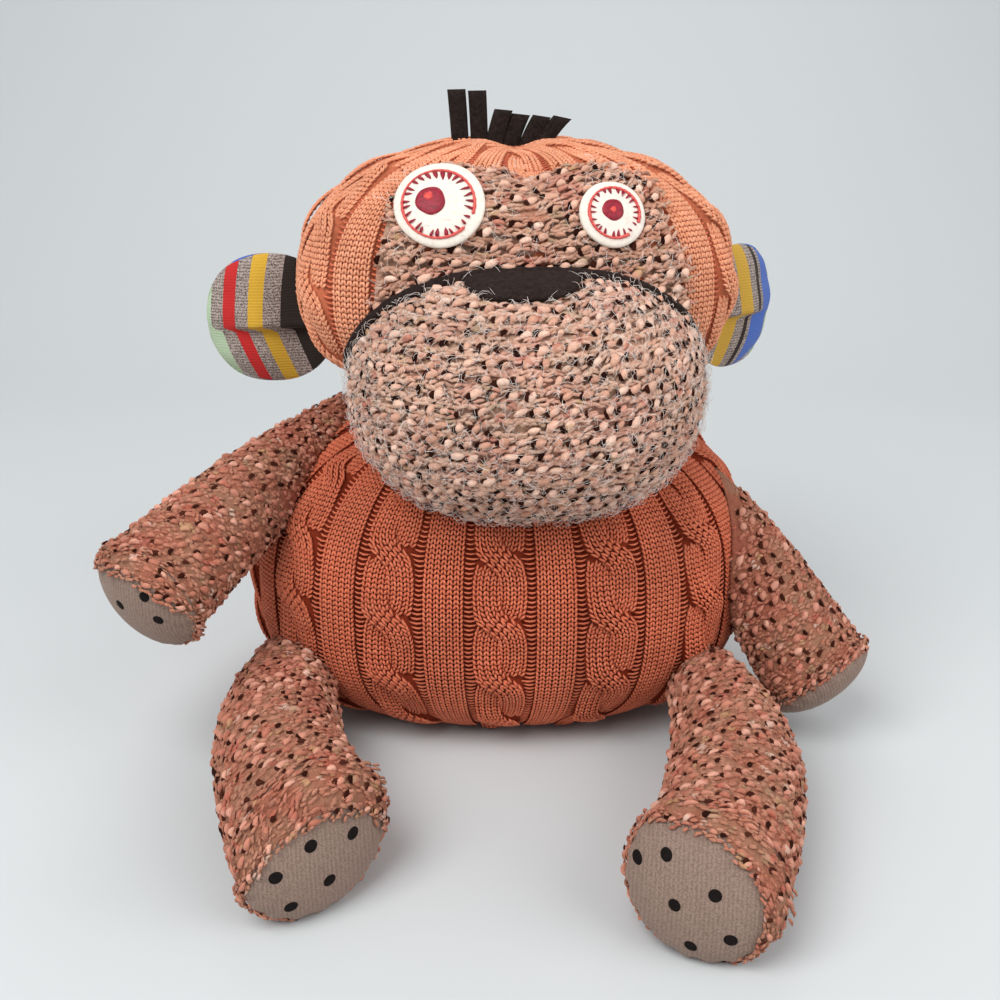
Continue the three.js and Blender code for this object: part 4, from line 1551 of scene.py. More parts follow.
def tweed_places(
    at: Surface, core: Callable[[float], Array], rows: Array, girth: Callable[[float], float]
) -> Spots:
    """Rows of tweed stitches round a form, each row shifted by half a stitch.

    Args:
        at: The form's surface.
        core: A point inside the form at a row.
        rows: Millimetres down at each row.
        girth: Length round the form at a row.
    Returns:
        The middle of each stitch.
    """
    places, step = [], rows[1] - rows[0]
    for number, row in enumerate(rows):
        count = max(6, round(girth(row) / TWEED_CELL[0]))
        around = (np.arange(count) + 0.5 * (number % 2) + 0.13 * sin(2.3 * number)) / count
        places.append(Spots.on(at, around, np.full(count, float(row)), 1 / count, step, core(row)))
    return joined(places)


def ring_length(at: Surface, down: float) -> float:
    """Length round a form at a row."""
    ring = at(np.linspace(0, 1, 65), np.full(65, float(down)))
    return float(np.linalg.norm(np.diff(ring, axis=0), axis=1).sum())


@dataclass
class StuffedLimb:
    """An arm or a leg: a tweed tube with a spotted jersey pad at its end."""

    shop: Workshop
    limb: Limb
    word: str
    pad: str
    spots: tuple[Pair, ...]
    cuff: Triple
    spot_mm: float = 2.0
    cover_under: float = 1.2
    pad_under: float = 1.6
    hem_mm: float = 4.2
    bend_mm: float = 30.0
    seam_grow: float = 0.6
    ground_mm: float = 0.3
    columns: int = 72
    pad_columns: int = 96

    def build(self) -> None:
        """Builds and dresses the cloth, the tweed and the pad."""
        limb = self.limb
        name = f"{limb.side.word}_{self.word}"
        around = np.arange(self.columns) / self.columns
        start = limb.clear_of(BODY, around, self.seam_grow)
        points, faces = self.cloth(around, start)
        tint = np.full(len(points), 0.5)
        # The cloth's colour is darkened as painted shade between the loops.
        cloth = new_piece(f"{name}_cloth", (points, faces), LIMB_INSIDE_PAINTED_SHADE, {"tint": tint})
        # The seam runs from where the limb leaves the body to a bend length beyond it; with a seam the
        # pieces keep their place rather than ride on the limb.
        seam = (self.core(start.min()), self.core(start.max() + self.bend_mm))
        LOG.info("%s leaves the body between %.0f and %.0f mm", name, start.min(), start.max())
        dress(cloth, name, (f"{name}_cover", f"{name}_stuffing"), seam)

        rows = np.arange(2.0, limb.straight - 0.5, TWEED_CELL[1] * 0.97)
        rows += limb.straight - 2.2 - rows[-1]
        spots = tweed_places(
            lambda a, v: limb.at(a, v, -1.5), self.core, rows, lambda v: TURN * float(limb.radius(v))
        )
        spots = joined([spots.kept(BODY.fullness(spots.points, 2.0) > 1), self.lapped(), self.hem()])
        self.shop.tweed(name, name, spots, LIMB_TWEED, 100 + 7 * limb.side.value + len(self.word), seam)
        self.build_pad(name)

    def core(self, along: float) -> Array:
        """A point on the limb's middle line."""
        ring = self.limb.at(np.linspace(0, 1, 8, endpoint=False), np.full(8, float(along)))
        return ring.mean(0)

    @property
    def pad_core(self) -> Array:
        """A point inside the limb, behind the pad."""
        return self.core(self.limb.straight - 10)

    def off_pad(self, around: Array, share: Array) -> Array:
        """How far places on the dome lie outside the circle of bare jersey.

        Args:
            around: Shares of the way round.
            share: 1 at the seam, 0 at the middle.
        Returns:
            Distances as shares of the pad's radius.
        """
        angle = TURN * np.asarray(around)
        x, y, reach = self.cuff
        return np.hypot(share * np.cos(angle) - x, share * np.sin(angle) - y) - reach

    def lapped(self) -> Spots:
        """The tweed stitches on the part of the dome that the cover laps over.

        Returns:
            The middle of each stitch.
        """
        fall = pi / 4 * (self.limb.radii[2] + self.limb.dome)

        def at(around: Array, down: Array) -> Array:
            """The dome's surface by millimetres from its seam."""
            return self.pad_at(around, np.cos(np.asarray(down) / fall * pi / 2), 0.2)

        parts, step = [], TWEED_CELL[1] * 0.8
        for number, row in enumerate(np.arange(2.0, fall, step)):
            share = cos(row / fall * pi / 2)
            count = max(6, round(TURN * self.limb.radii[2] * share / TWEED_CELL[0]))
            around = (np.arange(count) + 0.5 * (number % 2)) / count
            spots = Spots.on(at, around, np.full(count, row), 1 / count, step, self.pad_core)
            parts.append(spots.kept(self.off_pad(around, share) > 0.15))
        return joined(parts)

    def hem(self) -> Spots:
        """The tweed stitches set close along the edge where the cover laps over the pad.

        Returns:
            The middle of each stitch.
        """
        x, y, reach = self.cuff
        count = round(TURN * reach * self.limb.radii[2] / self.hem_mm)
        turn = TURN * np.arange(count) / count
        across, up = x + (reach + 0.08) * np.cos(turn), y + (reach + 0.08) * np.sin(turn)
        share = np.minimum(np.hypot(across, up), 1.0)
        points = self.pad_at(np.arctan2(up, across) / TURN, share, 0.3)
        along = unit(np.roll(points, -1, 0) - np.roll(points, 1, 0))
        normal = unit(points - self.pad_core)
        wide, high = np.full(count, TWEED_CELL[0] * 0.85), np.full(count, TWEED_CELL[1] * 0.7)
        return Spots(points, along, unit(np.cross(normal, along)), normal, wide, high)

    def cloth(self, around: Array, start: Array) -> Skin:
        """The closed cloth under the tweed, which starts on the body's surface.

        Args:
            around: Shares of the way round.
            start: Where each line of the limb leaves the body.
        Returns:
            Points and faces.
        """
        limb, under = self.limb, self.cover_under
        shares = np.linspace(0, 1, 40)
        lines = start[None, :] + shares[:, None] * (limb.straight - start[None, :])
        sleeve = limb.at(np.broadcast_to(around, lines.shape), lines, -under)
        middle = sleeve[0].mean(0)
        caps = [middle + (sleeve[0] - middle) * share for share in (0.15, 0.4, 0.65, 0.85)]
        caps = [BODY.pushed_out(ring, self.seam_grow) for ring in caps]
        dome = []
        for bend in np.linspace(0.08, pi / 2 - 0.12, 18):
            lap = smoothstep(self.off_pad(around, cos(bend)), 0.04, 0.1)
            along = np.full_like(around, limb.straight + limb.dome * sin(bend))
            dome.append(limb.at(around, along, (under + 0.5) * lap - under))
        tip = limb.at(np.zeros(1), np.full(1, limb.length), -under)[0]
        root = BODY.pushed_out(middle[None], self.seam_grow)[0]
        points, faces = closed_tube(np.concatenate([np.array(caps), sleeve, np.array(dome)]), root, tip)
        points[:, 2] = np.maximum(points[:, 2], self.ground_mm)
        return points, faces

    def pad_at(self, around: Array, share: Array, grow: float) -> Array:
        """Points of the pad.

        Args:
            around: Shares of the way round.
            share: 1 at the seam, 0 at the middle.
            grow: Distance outside the limb's form.
        Returns:
            Points in the part's frame.
        """
        share = np.clip(share, 0, 1)
        along = self.limb.straight + self.limb.dome * np.sqrt(1 - share**2)
        pucker = 0.35 * np.sin(TURN * 19 * np.asarray(around)) * smoothstep(share, 0.75, 1.0)
        points = self.limb.at(around, along, grow)
        return points + (points - self.pad_core) * (pucker / self.limb.radii[2])[..., None]

    def build_pad(self, name: str) -> None:
        """Builds the jersey pad and its printed spots.

        Args:
            name: Body that they ride on.
        """
        pad_name = f"{self.limb.side.word}_{self.pad}"
        around = np.arange(self.pad_columns) / self.pad_columns
        layers = [(share, -self.pad_under) for share in (0.1, 0.4, 0.7, 0.9, 0.98)]
        layers += [(share, 0.0) for share in np.sin(np.linspace(pi / 2, 0.05, 18))]
        rings = [self.pad_at(around, np.full_like(around, share), grow) for share, grow in layers]
        ends = [self.pad_at(np.zeros(1), np.zeros(1), grow)[0] for grow in (-self.pad_under, 0.0)]
        points, faces = closed_tube(rings, *ends)
        points[:, 2] = np.maximum(points[:, 2], self.ground_mm)
        wales = {"wale_mm": self.limb.place.local(points)[:, 0]}
        pad = new_piece(f"{pad_name}_jersey", (points, faces), PAD_JERSEY, wales)
        dress(pad, name, (f"{pad_name}_pad",))
        radius, discs = self.limb.radii[2], []
        turn = np.linspace(0, TURN, 16, endpoint=False)
        for across, up in self.spots:
            rings = []
            for size, grow in ((1.0, -0.3), (1.0, 0.12), (0.8, 0.28), (0.4, 0.3)):
                x = across * radius + size * self.spot_mm * np.cos(turn)
                y = up * radius + size * self.spot_mm * np.sin(turn)
                rings.append(self.pad_at(np.arctan2(y, x) / TURN, np.hypot(x, y) / radius, grow))
            discs.append(closed_tube(rings))
        prints = new_piece(f"{pad_name}_spots", join_skins(discs), SPOT_PRINT)
        dress(prints, name)


# The head


# Middle of the left ear's seam in the head's own axes. The right ear mirrors it.
EAR_SEAM = (86, 4, -15)


def face_axes(tilt: float) -> Array:
    """Axes of felt laid on the face, tilted back by an angle: across, up and into the head."""
    s, c = sin(tilt), cos(tilt)
    return np.array([(1.0, 0.0, 0.0), (0.0, s, c), (0.0, c, -s)]) @ np.array(HEAD_PLACE.axes)


@dataclass
class Face:
    """The head with its brow, muzzle, nose and hair."""

    shop: Workshop
    knit: CableKnit = CableKnit(HEAD, 11)
    brow_half: float = 58.0
    brow_top: float = 49.0
    brow_dip: float = 44.0
    brow_side: float = -12.0
    crease: float = 20.0
    brow_grow: float = 0.9

    # The nod's hinge, and how far it tips the head back.
    NOD_AT = (6.0, 4.0, 133.0)
    NOD_AXIS = (0.9962, 0.0872, 0.0)
    NOD_BACK = radians(14)
    # Room between the head's stitches and the body, at rest and in the nod.
    REST_GAP = 1.5
    NOD_GAP = 3.4
    # How deep the muzzle's cloth lies.
    MUZZLE_UNDER = 2.2
    # The nose hangs from the crease on a plane that tilts back.
    NOSE_TILT = radians(42)
    NOSE_AT = (-4.2, -68.5, 20.0)
    NOSE_HALF = 21.3
    NOSE_DROP = 21.0
    NOSE_RISE = 6.0
    # Share of the nose's outline and height of each ring, from below to the top.
    NOSE_LAYERS = (
        (0.25, -2.0), (0.7, -2.0), (0.97, -1.6), (1.0, -0.6), (1.0, 0.6),
        (0.96, 1.3), (0.8, 1.6), (0.5, 1.7), (0.2, 1.7),
    )
    # The felt band beside the nose: its ends in degrees round the muzzle, and its radius along its length.
    BAND_ENDS = (-104, 92)
    BAND_FAT = ((0, 0.08, 0.3, 0.5, 0.8, 1), (1.6, 3.2, 3.2, 3.0, 2.6, 1.2))
    # How far ahead of the head's middle and of the nose casts onto the face start.
    HEAD_AHEAD = 110.0
    NOSE_AHEAD = 60.0
    # Where the fringe's strip lies back and up in the head, and half the width and thickness of a finger.
    HAIR_AT = (4, 48)
    FINGER_HALF = (3.4, 1.25)
    # Place along the strip, lean in degrees and length of each finger of the fringe.
    FINGERS = (
        (-21.5, -3, 28), (-13.8, -2, 27.5), (-9.6, 13, 20.8),
        (-3.2, 16, 19.3), (3.4, 21, 19.3), (8.1, 30, 20.8),
    )
    # Section of a finger, as shares of its half width and its half thickness.
    SECTION = ((1, 0.6), (0.8, 1), (-0.8, 1), (-1, 0.6), (-1, -0.6), (-0.8, -1), (0.8, -1), (1, -0.6))

    def build(self) -> None:
        """Builds and dresses the head's cloth and knit, the brow, muzzle, nose and hair."""
        self.build_head()
        self.build_brow()
        self.build_muzzle()
        self.build_nose()
        self.build_hair()

    def brow_edges(self, count: int) -> tuple[Array, Array]:
        """The brow's lower and upper edges from right to left.

        Args:
            count: Points on each edge.
        Returns:
            Two lists of points.
        """
        t = np.linspace(0, 1, 40)[:, None]
        half, top = self.brow_half, self.brow_top
        a, b = np.array((half, self.brow_side)), np.array((half * 1.02, top * 0.6))
        c, d = np.array((half * 0.8, top * 1.02)), np.array((half * 0.5, top))
        rise = (1 - t) ** 3 * a + 3 * (1 - t) ** 2 * t * b + 3 * (1 - t) * t**2 * c + t**3 * d
        e, f = np.array((half * 0.14, top * 0.98)), np.array((0.0, self.brow_dip))
        over = (1 - t) ** 2 * d + 2 * (1 - t) * t * e + t**2 * f
        right = np.vstack([rise, over[1:]])
        path = np.vstack([right * (-1, 1), right[::-1][1:]])
        gone = lengths(path)
        even = np.linspace(0, gone[-1], count)
        upper = np.stack([np.interp(even, gone, path[:, i]) for i in (0, 1)], -1)
        x = np.linspace(-half, half, count)
        lower = np.stack([x, self.brow_side + (self.crease - self.brow_side) * (1 - (x / half) ** 2)], -1)
        return lower, upper

    def in_brow(self, points: Array, margin: float = 0.0, drop: float = 0.0) -> Array:
        """Whether points lie within the brow's outline, on the face side.

        Args:
            points: Points in the part's frame.
            margin: Millimetres that the outline grows by.
            drop: Millimetres that its lower edge sinks by.
        Returns:
            A mask.
        """
        local = HEAD_PLACE.local(points)
        lower, upper = self.brow_edges(60)
        lower = lower - np.array([0.0, drop])
        middle = np.array([0.0, 25.0])
        outline = np.vstack([lower, upper[::-1]])
        outline = outline + unit(outline - middle) * margin
        x, z = local[:, 0], local[:, 2]
        inside = np.zeros(len(points), bool)
        for (ax, az), (bx, bz) in zip(outline, np.roll(outline, -1, 0)):
            crosses = (az > z) != (bz > z)
            with np.errstate(divide="ignore", invalid="ignore"):
                inside ^= crosses & (x < (bx - ax) * (z - az) / (bz - az + 1e-12) + ax)
        return inside & (local[:, 1] < 0)

    def on_head(self, flat: Array, grow: float) -> Array:
        """Points of the head's own X and Z carried back onto the face, at a distance outside the head."""
        ahead = np.full(len(flat), -self.HEAD_AHEAD)
        start = HEAD_PLACE.world(np.column_stack([flat[:, 0], ahead, flat[:, 1]]))
        return HEAD.cast(start, np.array(HEAD_PLACE.axes)[1], grow)

    def clear_of_body(self, points: Array) -> Array:
        """Whether points stay clear of the body's stitches at rest and as the head nods back.

        Args:
            points: Points in the part's frame.
        Returns:
            A mask.
        """
        arm, axis = points - np.array(self.NOD_AT), np.array(self.NOD_AXIS)
        clear = BODY.fullness(points, self.REST_GAP) > 1
        for turn in (-self.NOD_BACK / 2, -self.NOD_BACK):
            tipped = arm * cos(turn) + np.cross(axis, arm) * sin(turn)
            tipped += np.outer(arm @ axis, axis) * (1 - cos(turn)) + np.array(self.NOD_AT)
            clear &= BODY.fullness(tipped, self.NOD_GAP) > 1
        return clear

    def build_head(self) -> None:
        """Builds the skull's cloth and cable knit."""
        surface = BagMap(HEAD)
        points, faces = self.knit.backing(surface, 2.0, surface.fall - 2.0)
        # The cloth sinks a little along each ear's seam, which leaves room for the fold.
        local = HEAD_PLACE.local(points)
        away = np.hypot(np.abs(local[:, 0]) - EAR_SEAM[0], local[:, 1] - EAR_SEAM[1])
        sunk = 1.5 * smoothstep(16 - away, 0, 6)
        points = points - unit(points - np.array(HEAD_PLACE.origin)) * sunk[:, None]
        points = BODY.pushed_out(points, 0.5)
        # The crown's cloth is painted shade between the stitches, lighter than the body's.
        cloth = new_piece("head_cloth", (points, faces), CROWN_WOOL_PAINTED_SHADE)
        dress(cloth, "head", ("head_cover", "head_stuffing"))
        plain, bars = self.knit.stitches(surface, 4.0, surface.fall - 20)
        # The crown's knit is painted lighter, as painted light from above; its purl bars keep the body's
        # darker wool, which paints shade in the ditches.
        for name, spots, finish in (
            ("head_knit", plain, CROWN_WOOL_PAINTED_LIGHT),
            ("head_purl", bars, ORANGE_WOOL),
        ):
            shown = ~self.in_brow(spots.points, -2.0, 9.0) & (MUZZLE.fullness(spots.points, 0.5) > 1)
            spots = spots.kept(shown & self.clear_of_body(spots.points))
            left = HEAD_PLACE.local(spots.points)[:, 0] > 0
            self.shop.cable("head", name, spots, finish, {"right": ~left, "left": left}, 31)

    def rows_on(self, surface: BagMap, rows: Array, grow: float) -> Spots:
        """Rows of tweed stitches round one of the head's bags, at a distance outside it."""
        core = np.array(surface.bag.place.origin)
        return tweed_places(
            lambda a, v: surface.at(a, v, grow), lambda v: core, rows, lambda v: ring_length(surface.at, v)
        )

    def build_brow(self) -> None:
        """Builds the tweed brow let into the head."""
        lower, upper = self.brow_edges(64)
        shares = np.linspace(0, 1, 26)
        flat = lower[:, None, :] + shares[None, :, None] * (upper - lower)[:, None, :]
        front = self.on_head(flat.reshape(-1, 2), self.brow_grow - 1.2).reshape(64, 26, 3)
        back = self.on_head(flat.reshape(-1, 2), -2.4).reshape(64, 26, 3)
        points, faces = closed_tube(np.concatenate([front, back[:, ::-1]], axis=1))
        tint = {"tint": np.full(len(points), 0.5)}
        # The cloth's colour is darkened as painted shade between the loops.
        cloth = new_piece("brow_cloth", (points, faces), FACE_INSIDE_PAINTED_SHADE, tint)
        dress(cloth, "head", ("brow_panel",))
        surface = BagMap(HEAD)
        rows = np.arange(3.0, surface.fall * 0.8, TWEED_CELL[1] * 0.95)
        spots = self.rows_on(surface, rows, self.brow_grow + 0.7)
        shown = self.in_brow(spots.points, 1.0, 5.0) & (MUZZLE.fullness(spots.points, -1.5) > 1)
        self.shop.tweed("brow", "head", spots.kept(shown), BROW_TWEED, 301)

    def build_muzzle(self) -> None:
        """Builds the stuffed tweed muzzle."""
        surface = BagMap(MUZZLE)
        around, down = np.meshgrid(np.arange(120) / 120, np.linspace(1.5, surface.fall - 1.5, 64))
        rings = surface.at(around, down, -self.MUZZLE_UNDER)
        ends = [surface.at(np.zeros(1), np.full(1, v), -self.MUZZLE_UNDER)[0] for v in (0.0, surface.fall)]
        points, faces = closed_tube(rings, *ends)
        points = BODY.pushed_out(HEAD.pushed_out(points, -3.2), 0.8)
        tint = {"tint": np.full(len(points), 0.6)}
        # The cloth's colour is darkened as painted shade between the loops.
        cloth = new_piece("muzzle_cloth", (points, faces), FACE_INSIDE_PAINTED_SHADE, tint)
        dress(cloth, "head", ("muzzle_cover", "muzzle_stuffing"))
        spots = self.rows_on(surface, np.arange(5.0, surface.fall - 6, TWEED_CELL[1]), -1.3)
        shown = (HEAD.fullness(spots.points, 1.8) > 1) & (BODY.fullness(spots.points, 2.4) > 1)
        shown &= (spots.width > 0.5 * TWEED_CELL[0]) & ~self.in_nose(spots.points)
        self.shop.tweed("muzzle", "head", spots.kept(shown), MUZZLE_TWEED, 305)

    def in_nose(self, points: Array) -> Array:
        """Tells which points lie under the nose.

        Args:
            points: Points in the part's frame.
        Returns:
            A mask.
        """
        across, up, _ = face_axes(self.NOSE_TILT)
        away = points - HEAD_PLACE.world(self.NOSE_AT)
        x, y = away @ across / self.NOSE_HALF, away @ -up / self.NOSE_DROP
        return (x**2 + np.maximum(y, 0) ** 2 < 1.2) & (y > -0.8)

    def build_nose(self) -> None:
        """Builds the felt nose and the felt band that runs out along the crease."""
        across, up, into = face_axes(self.NOSE_TILT)
        middle = HEAD_PLACE.world(self.NOSE_AT)
        angles = np.concatenate([np.linspace(0, pi, 48), np.linspace(pi, TURN, 24)[1:-1]])
        full = (np.abs(np.cos(angles)) ** 3 + np.abs(np.sin(angles)) ** 3) ** (-1 / 3)
        tall = np.where(np.sin(angles) > 0, self.NOSE_DROP, self.NOSE_RISE)
        edge = np.stack([np.cos(angles) * full * self.NOSE_HALF, np.sin(angles) * full * tall], -1)
        rings = []
        for share, grow in self.NOSE_LAYERS:
            flat = edge * share
            start = middle + flat[:, :1] * across - flat[:, 1:] * up - into * self.NOSE_AHEAD
            rings.append(MUZZLE.cast(start, into, grow))

        # The band follows the line along which the muzzle meets the head.
        beta = np.radians(np.linspace(*self.BAND_ENDS, 120))
        gamma = np.linspace(0.3, pi * 0.8, 400)
        b, g = np.meshgrid(beta, gamma, indexing="ij")
        direction = np.stack([np.sin(g) * np.sin(b), -np.cos(g), np.sin(g) * np.cos(b)], -1)
        reach = MUZZLE.reach(direction)[..., None]
        line = MUZZLE.place.world(direction * reach * MUZZLE.sizes(direction, 0.0))
        first = (HEAD.fullness(line, 2.0) < 1).argmax(1)
        path = line[np.arange(len(beta)), first]
        for _ in range(6):
            path[1:-1] = (path[:-2] + 2 * path[1:-1] + path[2:]) / 4
        share = np.linspace(0, 1, len(beta))[1:-1]
        fat = np.interp(share, *self.BAND_FAT)
        skin = join_skins([closed_tube(rings), tube(path, fat, 10, 0.8)])
        felt = new_piece("nose_felt_cut", skin, CHARCOAL_FELT)
        dress(felt, "head", ("nose_felt",))

    def build_hair(self) -> None:
        """Builds the fringe: one felt strip cut into fingers, standing in the crown."""
        skins, (back, foot), (wide, thick) = [], self.HAIR_AT, self.FINGER_HALF
        for number, (x, lean, length) in enumerate(self.FINGERS):
            rings = []
            for share in np.linspace(0, 1, 9):
                bend, along = radians(lean * (0.75 + 0.4 * share)), share * length
                corners = np.array(self.SECTION) * (wide + 0.25 * share, thick)
                sway = 0.5 * sin(2.1 * number + 2 * share)
                aside, high = sin(bend) * along, cos(bend) * along
                # The cut ends stay nearly level, although the fingers lean.
                tilt = 0.35 * bend
                across = x + aside + corners[:, 0] * cos(tilt)
                up = foot + high - corners[:, 0] * sin(tilt)
                rings.append(np.stack([across, back + sway + corners[:, 1], up], -1))
            skins.append(closed_tube(HEAD_PLACE.world(np.array(rings))))
        fringe = new_piece("hair_fringe_cut", join_skins(skins), BLACK_FELT)
        dress(fringe, "head", ("hair_fringe",))


@dataclass
class Eye:
    """A white felt disc on the brow, stitched with a red ring, crimson rays and a pupil, with a painted
    highlight on the pupil.
    """

    side: Side
    x: float
    z: float
    radius: float
    ring_at: Pair
    ring_share: float
    ring_fat: float
    pupil_at: Pair
    glint_at: Pair
    gap_degrees: Pair
    rays: int
    tilt: float = radians(18)
    proud: float = 3.3

    # Share of the radius and height of each ring of a disc, from below to the top.
    FELT_LAYERS = (
        (0.3, -0.6), (0.7, -0.6), (0.96, -0.6), (1.0, -0.1), (1.0, 0.9),
        (0.97, 1.4), (0.9, 1.6), (0.6, 1.7), (0.25, 1.75),
    )
    PUPIL_LAYERS = ((0.5, 1.2), (0.98, 1.4), (1.0, 1.9), (0.9, 2.25), (0.6, 2.4), (0.2, 2.45))
    GLINT_LAYERS = ((0.5, 1.9), (1.0, 2.2), (0.9, 2.6), (0.4, 2.75))
    PUPIL_SHARE = 0.325
    GLINT_SHARE = 0.1
    RING_HEIGHT = 1.75
    # Heights of a ray from its foot to its tip, and its thickness between them as shares of the radius.
    RAY_HEIGHTS = (1.5, 1.72, 1.75, 1.72, 1.6)
    RAY_FAT = (0.062, 0.052, 0.026)
    # Least and greatest length of a ray, as shares of the radius.
    RAY_REACH = (0.15, 0.24)
    # How far ahead of the face casts onto it start.
    AHEAD = 40

    def on_brow(self, flat: Array, grow: Array) -> Array:
        """Points of the eye's own plane laid on the brow.

        Args:
            flat: Points across and up, in millimetres from the eye's middle.
            grow: Distance outside the head, for each point or for all.
        Returns:
            Points in the part's frame.
        """
        across, up, into = face_axes(self.tilt)
        middle = HEAD_PLACE.world((self.x, -HEAD.front, self.z))
        start = middle + flat[:, :1] * across + flat[:, 1:] * up - into * self.AHEAD
        on_head = HEAD.cast(start, into, self.proud)
        return on_head - into * np.asarray(grow, float).reshape(-1, 1)

    def disc(self, middle: Pair, size: float, layers: Layers, wobble: float) -> Skin:
        """A rounded disc.

        Args:
            middle: Middle of the disc, as shares of the eye's radius.
            size: The disc's own radius, as a share of the eye's.
            layers: Share of the disc's radius and height of each ring, from below to the top.
            wobble: Share by which hand cutting varies the radius.
        Returns:
            Points and faces.
        """
        turn = np.linspace(0, TURN, 64, endpoint=False)
        cut = 1 + wobble * (np.sin(3 * turn + self.x) + 0.6 * np.sin(5 * turn + 2 * self.x))
        circle = np.stack([np.cos(turn), np.sin(turn)], -1)
        rings = []
        for share, height in layers:
            flat = circle * (size * self.radius * share * cut)[:, None] + np.array(middle) * self.radius
            rings.append(self.on_brow(flat, height))
        return closed_tube(rings)

    def ray(self, turns: Array, reaches: Array) -> Skin:
        """One stitched ray, by the angle and the reach of each of its points."""
        flat = np.stack([np.cos(turns), np.sin(turns)], -1) * reaches[:, None] + self.ring_middle
        return tube(self.on_brow(flat, self.RAY_HEIGHTS), np.array(self.RAY_FAT) * self.radius, 6, 0.5)

    @property
    def ring_middle(self) -> Array:
        """Middle of the stitched ring, in millimetres from the eye's middle."""
        return np.array(self.ring_at) * self.radius

    def build(self) -> None:
        """Builds and dresses the felt and its embroidery."""
        name = f"{self.side.word}_eye"
        felt = new_piece(f"{name}_felt", self.disc((0, 0), 1.0, self.FELT_LAYERS, 0.008), WHITE_FELT)
        dress(felt, "head", (name,))
        reach = self.ring_share * self.radius
        gap = [radians(d) for d in self.gap_degrees]
        sweep = np.linspace(gap[1], gap[0] + TURN, 110)
        flat = np.stack([np.cos(sweep), np.sin(sweep)], -1) * reach + self.ring_middle
        fat = self.ring_fat * self.radius * (1 + 0.3 * np.sin(sweep - 0.6) * np.sin(2 * sweep))
        fat = fat * (1 + 0.12 * np.sin(31 * sweep))
        ring = tube(self.on_brow(flat, self.RING_HEIGHT), fat[1:-1], 8, 0.8)

        rng = np.random.default_rng(int(self.radius * 10))
        shares, threads = np.array([0.0, 0.15, 0.5, 0.8, 1.0]), []
        for number in range(self.rays):
            turn = TURN * (number + rng.uniform(-0.18, 0.18)) / self.rays
            deep = rng.uniform(*self.RAY_REACH) * self.radius
            lean = rng.uniform(-0.1, 0.1)
            threads.append(self.ray(turn + lean * shares, reach * 0.98 - deep * shares))
        threads.append(self.disc(self.pupil_at, self.PUPIL_SHARE, self.PUPIL_LAYERS, 0.03))
        # The glint is a painted highlight on the pupil.
        glint = self.disc(self.glint_at, self.GLINT_SHARE, self.GLINT_LAYERS, 0.08)
        for word, skin, finish in (
            ("ring", ring, RED_FLOSS),
            ("rays_pupil", join_skins(threads), CRIMSON_FLOSS),
            ("glint", glint, PAINTED_HIGHLIGHT_FLOSS),
        ):
            dress(new_piece(f"{name}_{word}", skin, finish), "head")


# Jersey of the ears: a grey-brown marl knitted with bands of dyed rows, by millimetres from the seam.
EAR_BANDS = (
    (0.0, "#332C28"), (11.5, None), (18.5, "#DCAF3C"), (24.8, None),
    (30.2, "#C92F2E"), (35.4, None), (40.8, "#B9CFAE"),
)
FOLDED_EAR_BANDS = (
    (0.0, None), (13.0, "#D2A844"), (20.0, None), (25.0, "#332A26"),
    (27.5, None), (30.0, "#4F72C4"), (42.0, "#A9B9A0"),
)
EAR_BACK_BANDS = ((0.0, None), (20.0, "#4473C9"), (33.0, None), (41.0, "#A9C39C"))


def ear_jersey(name: str, light: str, dark: str, bands: Stops) -> Jersey:
    """A striped jersey of the ears."""
    return Jersey(name, 0.88, 0.2, "#D8CABF", 0.2, 0.5, 0.14, light, dark, bands, 50.0)


RIGHT_EAR_JERSEY = ear_jersey("striped_marl_jersey", "#B4A69E", "#5A4F49", EAR_BANDS)
LEFT_EAR_JERSEY = ear_jersey("folded_marl_jersey", "#B4A69E", "#5A4F49", FOLDED_EAR_BANDS)
EAR_BACK_JERSEY = ear_jersey("blue_striped_marl_jersey", "#BFB6B0", "#7D746F", EAR_BACK_BANDS)


